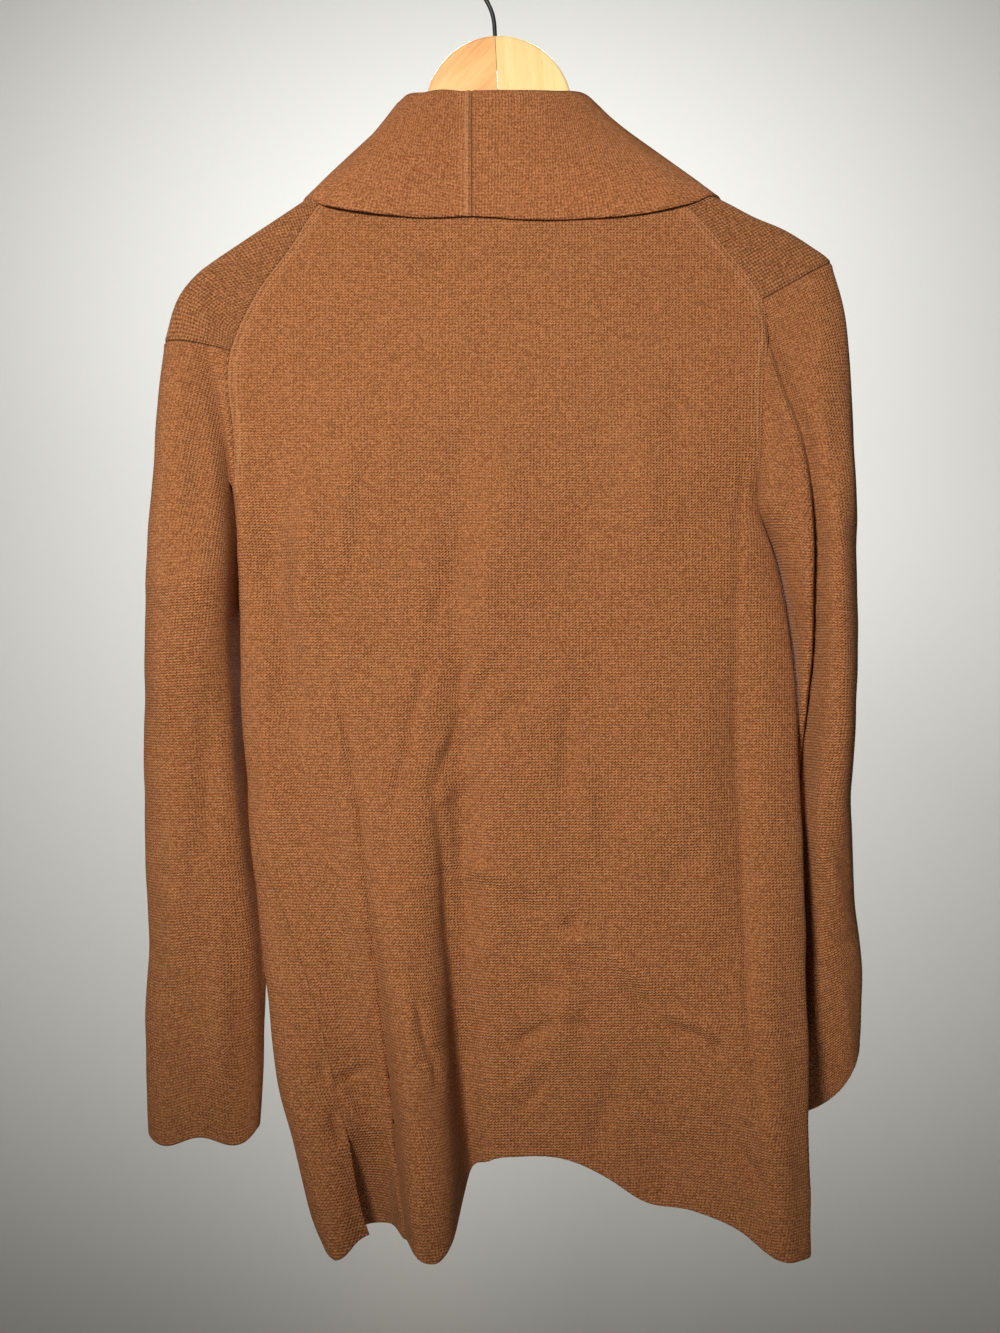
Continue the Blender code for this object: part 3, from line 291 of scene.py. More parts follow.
def body(row, angle):
    """Middle surface of the body. row: 0 the neck, 1 the hem. angle: degrees round it, 0 the left side, 90
    the back, 180 the right side, 270 the front. X is a signed power of the cosine between the side lines,
    and Y a power of the sine times the depth."""
    row, angle = np.broadcast_arrays(np.asarray(row, float), np.asarray(angle, float))
    a = np.radians(angle)
    flat = 2.0 / column(BODY_DEPTH, 3, row)
    left_x, left_z, left_open, left_y = (column(LEFT_SIDE, k, row) for k in range(1, 5))
    right_x, right_z, right_open, right_y = (column(RIGHT_SIDE, k, row) for k in range(1, 5))
    across = power(np.cos(a), flat)
    share = 0.5 * (1.0 + across)
    x = right_x + (left_x - right_x) * share
    back = np.sin(a) >= -TINY
    held = np.maximum(right_open + (left_open - right_open) * share, 0.0)
    depth = np.where(back, column(BODY_DEPTH, 1, row), column(BODY_DEPTH, 2, row))
    y = held + (depth - held) * np.abs(np.sin(a)) ** flat
    y = np.where(back, y, -y)
    y = y + left_y * np.maximum(across, 0.0) ** 2 + right_y * np.maximum(-across, 0.0) ** 2

    z = right_z + (left_z - right_z) * share
    z = z + BACK_NECK_RISE * (1.0 - across**2) * (1.0 - smooth(row / SHOULDER_END)) * back
    end_z = RIGHT_SIDE[-1, 2] + (LEFT_SIDE[-1, 2] - RIGHT_SIDE[-1, 2]) * share
    end_x = RIGHT_SIDE[-1, 1] + (LEFT_SIDE[-1, 1] - RIGHT_SIDE[-1, 1]) * share
    hem = np.where(back, column(BACK_HEM, 1, end_x), column(FRONT_HEM, 1, end_x))
    z = z + (hem - end_z) * np.clip((row - UNDERARM) / (1.0 - UNDERARM), 0.0, 1.0) ** HEM_POWER

    lift = bulge(PLEAT, x, z) + bulge(SIDE_ROLL, x, z)
    y = y + np.where(back, lift, 0.0) * np.clip(np.abs(np.sin(a)) * PLEAT_FADE, 0.0, 1.0)
    for _, side, *line in SOFT_FOLDS:
        shown = (back == (side > 0)) * np.clip(np.abs(np.sin(a)) * FOLD_FADE, 0.0, 1.0)
        y = y + side * shown * fold(x, z, *line)
    return np.stack([x, y, z], axis=-1)


print("centre back at the waist, mm:", np.round(body(0.6, 90.0), 1))

# %% [markdown]
# ## Back and fronts
# The back is cut in one piece from side seam to side seam, and each front from its side seam to its open
# edge. All three are ranges of angle on the one body surface, so their seams agree. Below the top of a
# vent the edges part.

# %% Rows that every panel shares
# Each stretch: its length, and how many even points it has besides the close ones.
SHOULDER, ARMHOLE, SKIRT, ARM = (170.0, 44), (164.0, 44), (450.0, 130), (380.0, 130)
SHOULDER_ROWS = steps(*SHOULDER)
ARMHOLE_ROWS = SHOULDER_END + (UNDERARM - SHOULDER_END) * steps(*ARMHOLE, stop=False)
SKIRT_ROWS = UNDERARM + (1.0 - UNDERARM) * steps(*SKIRT, start=False)
BODY_ROWS = np.concatenate([SHOULDER_ROWS * SHOULDER_END, ARMHOLE_ROWS[1:], SKIRT_ROWS[1:]])
BACK_COUNT, FRONT_COUNT, ARM_COUNT = 171, 80, 84        # points across each panel
FINE_COUNT = 700        # points at which a row is first read, before they are spread
print(len(BODY_ROWS), "rows from neck to hem")


# %% Cutting the panels out of the body
def seam_angles(row):
    """Angles of the two side seams. Above the underarm they are the armholes, at the sides."""
    return column(SIDE_SEAMS, 1, row), 180.0 - column(SIDE_SEAMS, 2, row)


def span(row, start, stop, count):
    """Rows of the body between two angles. They are first read finely, and more finely near the ends, by a
    cosine, so that the round at the side is kept."""
    fine = 0.5 - 0.5 * np.cos(np.linspace(0.0, math.pi, FINE_COUNT))
    return spread(body(row[:, None], start[:, None] + (stop - start)[:, None] * fine[None, :]), count)


def open_vent(grid, row, at_start, vent):
    """Below the top of the vent, the end of each row moves away from the seam, less the further in."""
    move, reach = vent
    run = np.linalg.norm(grid - (grid[:, :1] if at_start else grid[:, -1:]), axis=-1)
    parted = smooth((row - VENT_TOP) / (1.0 - VENT_TOP)) ** VENT_SPEED
    amount = parted[:, None] * np.exp(-(run / reach) ** 2)
    return grid + amount[..., None] * np.array(move)


def armhole(left, row, end):
    """Points of the armhole, which are the body's own edge. end: 1 the back, -1 the front."""
    points = body(row, np.full(len(row), 0.0 if left else 180.0))
    points[:, 1] *= end
    return points


def back_panel():
    """The back, from the left side seam to the right one."""
    start, stop = seam_angles(BODY_ROWS)
    grid = open_vent(span(BODY_ROWS, start, stop, BACK_COUNT), BODY_ROWS, True, LEFT_VENT_BACK)
    return open_vent(grid, BODY_ROWS, False, RIGHT_VENT_BACK)


def front_panel(left):
    """A front, from the side seam to the open edge, towards which its top edge drops."""
    row = BODY_ROWS
    left_x, right_x = column(LEFT_SIDE, 1, row), column(RIGHT_SIDE, 1, row)
    across = 2.0 * (column(FRONT_EDGE, 1 if left else 2, row) - right_x) / (left_x - right_x) - 1.0
    inner = 360.0 - np.degrees(np.arccos(power(across, column(BODY_DEPTH, 3, row) / 2.0)))
    above = row < UNDERARM - TINY
    seam_left, seam_right = seam_angles(row)
    seam_left = 360.0 + np.where(above, -FRONT_SIDE, seam_left)
    seam_right = np.where(above, 180.0 + FRONT_SIDE, seam_right)
    if left:
        grid = open_vent(span(row, inner, seam_left, FRONT_COUNT), row, False, LEFT_VENT_FRONT)
        near = grid[:, ::-1]
    else:
        grid = near = open_vent(span(row, seam_right, inner, FRONT_COUNT), row, True, RIGHT_VENT_FRONT)
    near[above, 0] = armhole(left, row[above], -1.0)
    share = np.linspace(0.0, 1.0, FRONT_COUNT)[None, :]
    near[..., 2] -= NECK_DROP * share * (1.0 - smooth(row / SHOULDER_END))[:, None]
    return grid


print("back panel grid:", back_panel().shape)

# %% [markdown]
# ## Saddles and sleeves
# A saddle shoulder is a strip that runs over the shoulder from neck to sleeve. Its cross-section is half a
# superellipse between the front seam and the back seam. The sleeve starts from the saddle's last section
# and the armhole, then hangs as a closed, flattened tube. Near the top the hanger's tip holds it out;
# lower down it falls in against the body.

# %% Tables of the shoulders and sleeves
# Tops of the shoulders, from the neck to where the sleeve starts.
LEFT_RIDGE = np.array([
    #  s,     x,      z
    (0.00,  82.0, -163.0), (0.20, 105.0, -177.3), (0.36, 126.0, -190.9), (0.52, 146.6, -204.6),
    (0.66, 167.0, -218.3), (0.78, 187.0, -231.5), (0.84, 197.5, -239.4), (0.90, 207.7, -251.4),
    (0.95, 213.8, -264.5), (1.00, 219.2, -285.8),
])
RIGHT_RIDGE = np.array([
    #  s,      x,      z
    (0.00,  -83.0, -156.5), (0.25, -118.5, -171.0), (0.52, -162.3, -191.0), (0.65, -180.8, -200.5),
    (0.81, -206.2, -211.4), (0.90, -221.5, -221.0), (0.96, -231.0, -227.6), (1.00, -234.4, -231.6),
])

# Upper sleeve, from the saddle to the underarm. out_x, out_z: its outer side. depth: half its depth.
LEFT_CAP = np.array([
    # row, out_x,  out_z, depth
    (0.20, 219.2, -285.8, 13.0), (0.25, 223.4, -322.0, 20.0), (0.30, 227.0, -380.0, 29.0),
    (0.36, 231.5, -452.0, 38.0),
])
RIGHT_CAP = np.array([
    # row, out_x,   out_z, depth
    (0.20, -234.4, -231.6, 13.0), (0.25, -244.2, -272.0, 20.0), (0.30, -248.6, -340.0, 29.0),
    (0.36, -250.6, -407.0, 38.0),
])

# Lower sleeves, from underarm to cuff. in_x, out_x: the two sides. mid_y: middle. depth: half its depth.
LEFT_ARM = np.array([
    #   z,    in_x,  out_x,  mid_y, depth
    (-449.0, 172.7, 231.5,   0.0, 38.0),
    (-478.0, 173.4, 233.2,  -6.0, 38.5),
    (-530.0, 170.8, 235.2, -13.0, 36.0),
    (-590.0, 165.7, 235.4, -14.0, 32.5),
    (-650.0, 159.2, 234.2, -13.0, 29.0),
    (-710.0, 153.6, 232.8, -10.0, 25.0),
    (-760.0, 154.3, 234.2,  -7.0, 21.0),
    (-800.0, 155.6, 232.8,  -5.0, 18.0),
    (-829.0, 157.3, 231.4,  -4.0, 16.0),
])
RIGHT_ARM = np.array([
    #   z,     in_x,   out_x, mid_y, depth
    (-402.0, -187.4, -250.6,   0.0, 38.0),
    (-434.0, -201.0, -250.8,  -2.0, 42.0),
    (-490.0, -210.5, -251.0,  -7.0, 43.0),
    (-550.0, -213.6, -251.2, -13.0, 41.0),
    (-600.0, -213.0, -251.2, -20.0, 36.0),
    (-650.0, -206.0, -254.6, -28.0, 29.0),
    (-700.0, -196.0, -258.6, -34.0, 24.0),
    (-760.0, -184.0, -263.8, -37.0, 20.0),
    (-795.0, -181.0, -263.6, -37.0, 18.0),
    (-818.0, -182.0, -262.5, -37.0, 16.0),
])
SLEEVE_FOLDS = [
    # name,            side of the body, x_top, z_top, x_low, z_low, half_width, out, low_out
    ("left arm valley",      1,  196.0, -284.0,  188.0, -440.0, 12.0, -6.0, 0.0),
    ("left arm crease",      1,  189.0, -520.0,  190.0, -650.0, 12.0, -3.0, 0.0),
    ("right arm valley",    -1, -196.0, -262.0, -223.0, -620.0, 14.0, -9.0, 0.0),
    ("right arm lower fold", -1, -240.0, -610.0, -250.0, -822.0, 14.0, 4.0, 0.0),
]
SLEEVE_FLAT = 0.86      # superellipse exponent of a sleeve's section, where 1 is an ellipse
SADDLE_FLAT = 0.5       # exponent of the saddle's rise from its seam to the shoulder's ridge
SADDLE_ROUND = 0.62     # exponent of its depth
EASE = 0.28             # share of the arm over which its tube eases out of the cap's last section
FACING_START = 0.45     # share of a sleeve's depth, from the front, where its folds begin to show
FACING_FADE = 2.0       # how soon they do
SADDLE_LATE = 3         # exponent of how late the saddle is drawn onto the sleeve's first row
UNDERARM_CLEAR = 2.5    # middle of the sleeve to middle of the body at the underarm
UNDERARM_RISE = 6.0     # how far the tube's outer side is lower than its inner side at the underarm
CUFFS = {
    # sleeve: height of the wave in the cuff's edge, radians where the wave starts, how far the cuff curves
    # up at its outer and at its inner side, exponents of how near to those sides it does
    1: (3.2, 3.1, 2.0, 6.0, 12.0, 14.0), -1: (1.2, 0.6, 42.0, 0.0, 5.0, 6.0),
}
CUFF_START = 0.4        # share of the lower sleeve from which the cuff takes its shape
CUFF_WAVES = 3.0        # half waves of its edge, from the inner to the outer side
RISE_END = 1.0 / 3.0    # share of the lower sleeve over which the underarm's slant ends
SLEEVES = {
    # sleeve: side line, cap, arm, exponent of how late a row of the cap leaves the height of its outer side
    1: (LEFT_SIDE, LEFT_CAP, LEFT_ARM, 2.0), -1: (RIGHT_SIDE, RIGHT_CAP, RIGHT_ARM, 1.0),
}
SECTION_COUNT = 481     # points at which a section is first read


# %% Sections of a sleeve
def section_turns():
    """Round a sleeve: turn is -180 at the front of the seam, 0 at the outer side and 180 at the back of the
    seam. lap: radians from the seam. The last is the share of the way across, a power of lap's cosine."""
    turn = np.linspace(-180.0, 180.0, SECTION_COUNT)[None, :]
    lap = np.radians(180.0 - np.abs(turn))
    return turn, lap, 0.5 - 0.5 * power(np.cos(lap), SLEEVE_FLAT)


def sleeve_folds(points, which):
    """Add the sleeve's long folds to the side that faces back."""
    x, y, z = points[..., 0], points[..., 1], points[..., 2]
    share = (y - y.min(axis=1, keepdims=True)) / np.ptp(y, axis=1, keepdims=True)
    facing = smooth(FACING_FADE * (share - FACING_START))
    for _, side, *line in SLEEVE_FOLDS:
        if side == which:
            y = y + facing * fold(x, z, *line)
    return np.stack([x, y, z], axis=-1)


def cap_section(row, which):
    """Upper sleeve at some rows, from the front armhole round the outer side to the back armhole. X and Y
    are powers of a cosine and a sine. Z goes from the seam's height to the outer side's."""
    side, cap, _, z_power = SLEEVES[which]
    turn, lap, across = section_turns()
    row = row[:, None]
    seam_x, seam_z, seam_y = (column(side, k, row) for k in (1, 2, 3))
    out_x, out_z, depth = (column(cap, k, row) for k in (1, 2, 3))
    x = seam_x + (out_x - seam_x) * across
    held = np.maximum(seam_y, 0.0) * (1.0 - across)
    y = held + (depth - held) * np.sin(lap) ** SLEEVE_FLAT
    z = out_z + (seam_z - out_z) * (1.0 - across) ** z_power
    x, y, z = np.broadcast_arrays(x, np.where(turn < 0.0, -y, y), z)
    return spread(sleeve_folds(np.stack([x, y, z], axis=-1), which), ARM_COUNT)


def tube_section(z, which):
    """Lower sleeve: a closed superellipse at each level, from the underarm seam round to it again. Its edge
    adds a sine to a power of the way across from each side."""
    arm = SLEEVES[which][2]
    turn, lap, across = section_turns()
    z = z[:, None]
    in_x, out_x, mid_y, depth = (column(arm, k, z) for k in (1, 2, 3, 4))
    x = in_x + (out_x - in_x) * across
    y = mid_y + np.sign(turn) * depth * np.sin(lap) ** SLEEVE_FLAT
    low = (arm[0, 0] - z) / (arm[0, 0] - arm[-1, 0])
    wave, start, outer, inner, outer_power, inner_power = CUFFS[which]
    rise = outer * across ** outer_power + inner * (1.0 - across) ** inner_power
    rise = rise + wave * np.sin(CUFF_WAVES * math.pi * across + start) * np.sign(turn)
    rise = rise * smooth((low - CUFF_START) / (1.0 - CUFF_START))
    slant = (1.0 - smooth(low / RISE_END)) * UNDERARM_RISE * (0.5 - across)
    x, y, z = np.broadcast_arrays(x, y, z + rise + slant)
    return spread(sleeve_folds(np.stack([x, y, z], axis=-1), which), ARM_COUNT)


# %% Whole sleeves and saddles
def sleeve(left):
    """Cap and tube of one sleeve, from the saddle's end to the cuff."""
    which = 1 if left else -1
    level = SLEEVES[which][2][:, 0]
    upper = cap_section(ARMHOLE_ROWS, which)
    down = steps(*ARM, start=False)[1:]
    lower = tube_section(level[0] + (level[-1] - level[0]) * down, which)
    ease = (1.0 - smooth(down / EASE))[:, None, None]
    lower = lower + ease * (upper[-1] - tube_section(level[:1], which)[0])[None]
    grid = np.concatenate([upper, lower])
    for k, end in ((0, -1.0), (-1, 1.0)):
        grid[:len(upper), k] = armhole(left, ARMHOLE_ROWS, end)
    rest = grid[len(upper) - 1:]
    rest[0, 0, 0] += which * UNDERARM_CLEAR
    rest[:, -1] = rest[:, 0]
    return grid if left else grid[:, ::-1]


def saddle(left):
    """The shoulder strip, from the neck to the first row of the sleeve. From the ridge at the middle of
    each section the height falls to the seam by a power of the cosine, while Y is a power of the sine."""
    ridge = LEFT_RIDGE if left else RIGHT_RIDGE
    s = SHOULDER_ROWS[:, None]
    turn = np.radians(np.linspace(-90.0, 90.0, SECTION_COUNT))[None, :]
    top = np.stack([column(ridge, 1, s) + 0 * turn, column(ridge, 2, s) + 0 * turn], axis=-1)
    seam = armhole(left, SHOULDER_ROWS * SHOULDER_END, 1.0)
    foot = np.stack([seam[:, 0], seam[:, 2]], axis=-1)[:, None, :]
    place = top + (foot - top) * (1.0 - np.abs(np.cos(turn)) ** SADDLE_FLAT)[..., None]
    y = seam[:, 1][:, None] * power(np.sin(turn), SADDLE_ROUND)
    grid = spread(np.stack([place[..., 0], y, place[..., 1]], axis=-1), ARM_COUNT)
    for k, end in ((0, -1.0), (-1, 1.0)):
        grid[:, k] = armhole(left, SHOULDER_ROWS * SHOULDER_END, end)
    first = sleeve(left)[0]
    first = first if left else first[::-1]
    grid = grid + (first - grid[-1])[None] * (s**SADDLE_LATE)[..., None]
    return grid if left else grid[:, ::-1]


panels = {
    "back": back_panel(),
    "left_front": front_panel(True), "right_front": front_panel(False),
    "left_sleeve": sleeve(True), "right_sleeve": sleeve(False),
    "left_saddle": saddle(True), "right_saddle": saddle(False),
}
for name, grid in panels.items():
    print(f"{name}: {grid.shape[0]} x {grid.shape[1]}")

# %% [markdown]
# ## The shawl collar
# The collar is sewn to the neck and the front edges. From its seam it stands up to a fold line, turns over
# it in a tight round, and falls back over the cloth to its outer edge. Each profile is a smooth curve
# through a few points worked out from the seam, the fold line and the outer edge, and the fall is then
# pushed clear of what it lies on.

# %% Tables of the collar
# Sections of the shawl collar from the centre back to where the lapel ends. start: share of the neck edge.
# roll, edge: X, Y, Z of the fold line and the outer edge.
LEFT_COLLAR = np.array([
    # start,  roll x,    y,      z,  edge x,     y,      z
    (0.000,   10.0,   13.5, -119.5,   10.0,  14.5, -202.5),
    (0.080,   39.0,   12.5, -119.8,   52.0,  14.5, -203.0),
    (0.130,   52.0,   10.0, -124.0,   92.0,  16.5, -199.0),
    (0.160,   58.0,    5.0, -131.0,  112.0,  13.5, -194.5),
    (0.185,   61.0,   -1.0, -137.0,  125.0,   0.0, -187.0),
    (0.210,   64.0,   -9.0, -146.0,  131.0, -15.0, -202.0),
    (0.260,   59.0,  -17.0, -172.0,  133.0, -20.0, -238.0),
    (0.400,   53.0,  -21.0, -260.0,  126.0, -24.0, -310.0),
    (0.600,   46.0,  -27.0, -360.0,  102.0, -29.0, -395.0),
    (0.800,   41.0,  -30.0, -455.0,   70.0, -32.0, -476.0),
    (1.000,   39.0,  -32.0, -545.0,   47.0, -35.0, -549.0),
])
RIGHT_COLLAR = np.array([
    # start,  roll x,    y,      z,  edge x,     y,      z
    (0.000,   10.0,   13.5, -119.5,   10.0,  14.5, -202.5),
    (0.080,  -40.0,   13.5, -118.5,  -52.0,  14.5, -204.8),
    (0.130,  -62.0,   10.0, -119.5, -108.0,  15.0, -200.5),
    (0.160,  -71.0,    5.0, -126.0, -140.0,  13.0, -193.0),
    (0.185,  -76.0,   -1.0, -133.0, -159.5,   0.0, -186.3),
    (0.210,  -72.0,   -9.0, -142.0, -158.0, -15.0, -203.0),
    (0.260,  -63.0,  -17.0, -170.0, -150.0, -20.0, -240.0),
    (0.400,  -57.0,  -21.0, -260.0, -136.0, -24.0, -310.0),
    (0.600,  -52.0,  -27.0, -360.0, -110.0, -29.0, -395.0),
    (0.800,  -51.0,  -30.0, -455.0,  -80.0, -32.0, -476.0),
    (1.000,  -51.5,  -32.0, -545.0,  -60.0, -35.0, -549.0),
])
LAPEL_END = 0.52        # row parameter of the front edge where the lapel ends
CENTRE_BACK_SHARE = 0.44        # share of the back neck edge that the left half takes
LAPEL_CLEAR = 2.1       # middle of the collar to middle of the panel that it lies on
ROLL_BEND = 3.4         # size of the round over the fold line
ROLL_LIMIT = 0.35       # largest share of the stand's height that the round takes
ROLL_BACK, ROLL_TOP = 1.9, 0.9  # how far the round's end and its top stand off the stand, in ROLL_BENDs
FALL_BOW = 1.0          # how far the fall bows out
FALL_SHARES = (0.35, 0.7, 1.0)  # places along the fall that its curve passes through
COLLAR_MARKS = (0.0, 0.155, 0.215, 0.245, 1.0)      # places of the neck corners along the collar
EDGE_SHARE = np.array([
    # row parameter of the front edge, share of the lapel
    (0.000, 0.000), (0.080, 0.133), (0.144, 0.267), (0.184, 0.400), (0.232, 0.533), (0.296, 0.667),
    (0.360, 0.800), (0.467, 0.933), (0.520, 1.000),
])
PROFILES = 90           # profiles along half the collar, besides those at the corners of the neck
PROFILE_COUNT = 400     # points at which a profile is first read
COLLAR_COUNT = 46       # points from seam to outer edge
FALL_START = 24         # the first of them that is fall
CLEAR_ROWS = 130        # rows of a panel that the fall can reach
CLEAR_BELOW = 20.0      # how far below the fall its points are still looked at
CLEAR_ROUNDS = 3        # rounds in which the nearest points may change


# %% The edge that the collar is sewn to
def shares(line):
    """Share of a line's length at each of its points."""
    run = runs(line[None])[0]
    return run / run[-1]


def neck_edge(left):
    """Half the back neck, the end of the saddle, the front neck and the front edge down to the lapel's end.
    Also each point's place along the collar's table."""
    back, lapel = panels["back"][0], BODY_ROWS <= LAPEL_END
    middle = int(round(CENTRE_BACK_SHARE * (BACK_COUNT - 1)))
    if left:
        strip, front = panels["left_saddle"][0], panels["left_front"]
        parts = [back[middle::-1], strip[::-1], front[0, ::-1], front[lapel, 0]]
    else:
        strip, front = panels["right_saddle"][0], panels["right_front"]
        parts = [back[middle:], strip, front[0], front[lapel, -1]]
    share = [shares(part) for part in parts[:3]] + [column(EDGE_SHARE, 1, BODY_ROWS[lapel])]
    marks = [COLLAR_MARKS[k] + (COLLAR_MARKS[k + 1] - COLLAR_MARKS[k]) * part for k, part in enumerate(share)]
    points = np.concatenate([parts[0]] + [part[1:] for part in parts[1:]])
    return points, np.concatenate([marks[0]] + [mark[1:] for mark in marks[1:]])


# %% Profiles of the collar
def read_all(at, values, place):
    """Each row of `values`, given at the increasing places `at`, read at other places by smooth curves."""
    table = np.column_stack([at, values.reshape(len(at), -1)])
    read = np.stack([column(table, k, place) for k in range(1, table.shape[1])], axis=-1)
    return read.reshape((len(place),) + values.shape[1:])


def collar(left):
    """Half the collar, with its profiles as rows, and the seam as its first column. A profile rises half
    way to the fold line, goes round a bend there, and falls along a sine's bow to the outer edge."""
    seam, place = neck_edge(left)
    even = np.searchsorted(place, np.linspace(0.0, 1.0, PROFILES)).clip(0, len(place) - 1)
    keep = np.unique(np.concatenate([np.searchsorted(place, COLLAR_MARKS[:-1]), even]))
    table = LEFT_COLLAR if left else RIGHT_COLLAR
    roll = np.stack([column(table, k, place[keep]) for k in (1, 2, 3)], axis=-1)
    edge = np.stack([column(table, k, place[keep]) for k in (4, 5, 6)], axis=-1)
    rise = roll - seam[keep]
    height = np.linalg.norm(rise, axis=-1, keepdims=True)
    up = rise / height
    side = edge - roll
    side = side - up * (side * up).sum(-1, keepdims=True)
    side = side / np.linalg.norm(side, axis=-1, keepdims=True)
    bend = np.minimum(ROLL_BEND, ROLL_LIMIT * height)
    turn = roll + side * bend * ROLL_BACK - up * bend
    line = [seam[keep], seam[keep] + rise * 0.5, roll - up * bend, roll + side * bend * ROLL_TOP, turn]
    for share in FALL_SHARES:
        line.append(turn + (edge - turn) * share + side * FALL_BOW * math.sin(math.pi * share))
    knots = np.arange(len(line), dtype=float)
    curve = read_all(knots, np.stack(line), np.linspace(0.0, knots[-1], PROFILE_COUNT)).transpose(1, 0, 2)
    grid = keep_clear(spread(curve, COLLAR_COUNT), "left" if left else "right")
    return read_all(keep, grid, np.arange(len(seam), dtype=float))


def keep_clear(grid, which):
    """Move the fall out along the normals of the panels under it, by what its distance from the nearest of
    their points falls short of LAPEL_CLEAR. Every second point is enough for that."""
    under = [panels[name] for name in ("back", which + "_saddle", which + "_front")]
    cloud = np.concatenate([panel[:CLEAR_ROWS:2, ::2].reshape(-1, 3) for panel in under])
    normal = np.concatenate([grid_normals(panel)[:CLEAR_ROWS:2, ::2].reshape(-1, 3) for panel in under])
    used = cloud[:, 2] > grid[..., 2].min() - CLEAR_BELOW
    cloud, normal = cloud[used], normal[used]
    fall = grid[:, FALL_START:].reshape(-1, 3)
    for _ in range(CLEAR_ROUNDS):
        square = (fall**2).sum(1)[:, None] + (cloud**2).sum(1)[None] - 2.0 * fall @ cloud.T
        nearest = square.argmin(axis=1)
        gap = ((fall - cloud[nearest]) * normal[nearest]).sum(axis=1)
        fall = fall + normal[nearest] * np.maximum(LAPEL_CLEAR - gap, 0.0)[:, None]
    grid = grid.copy()
    grid[:, FALL_START:] = fall.reshape(grid[:, FALL_START:].shape)
    return grid


def grid_normals(grid):
    """Unit normals of a grid: the cross product of its slopes down and across."""
    normal = np.cross(np.gradient(grid, axis=0), np.gradient(grid, axis=1))
    return normal / np.maximum(np.linalg.norm(normal, axis=-1, keepdims=True), TINY)


collars = {"collar_left": collar(True), "collar_right": collar(False)[::-1]}
print("collar grids:", [grid.shape for grid in collars.values()])

# %% [markdown]
# ## Normals that agree at the seams
# Two panels that share a seam must agree on the direction that is outwards there, or their walls would
# part or cross. The normals of all faces are summed on every point, equal points of different panels are
# found by their rounded places, and their sums are added together.


# %% Summing normals over equal points
def grid_faces(shape, start=0):
    """Corner numbers of a grid's four-sided faces, in the order that makes them face outwards."""
    index = np.arange(shape[0] * shape[1]).reshape(shape[:2]) + start
    return np.stack([index[:-1, :-1], index[1:, :-1], index[1:, 1:], index[:-1, 1:]], axis=-1).reshape(-1, 4)


def crossed(points, faces):
    """For each face, the cross product of its diagonals: its normal, as long as twice its area."""
    return np.cross(points[faces[:, 2]] - points[faces[:, 0]], points[faces[:, 3]] - points[faces[:, 1]])


def agreed_normals(grids):
    """Unit normals for several grids, the same where their points are the same."""
    points = np.concatenate([grid.reshape(-1, 3) for grid in grids.values()])
    starts = np.cumsum([0] + [grid.shape[0] * grid.shape[1] for grid in grids.values()])
    total = np.zeros_like(points)
    for start, grid in zip(starts, grids.values()):
        faces = grid_faces(grid.shape, start)
        out = crossed(points, faces)
        for k in range(4):
            np.add.at(total, faces[:, k], out)
    _, same = np.unique(np.round(points, 3), axis=0, return_inverse=True)
    same = same.reshape(-1)
    summed = np.zeros((same.max() + 1, 3))
    np.add.at(summed, same, total)
    unit = (summed / np.maximum(np.linalg.norm(summed, axis=1, keepdims=True), TINY))[same]
    return {name: unit[start:start + grid.shape[0] * grid.shape[1]].reshape(grid.shape)
            for start, (name, grid) in zip(starts, grids.items())}


print("normals of the collar:", [normal.shape for normal in agreed_normals(collars).values()])

# %% [markdown]
# ## Creases
# Soft knit that has been folded away and hung up again keeps many shallow creases. Each is a bell across a
# short line that fades in and out along it, in its own place and size. Between them the cloth is never
# quite flat, so a few long, low waves of different lengths are added too. Both move the cloth along its
# normal, and depend only on the place, so panels still meet at their seams.

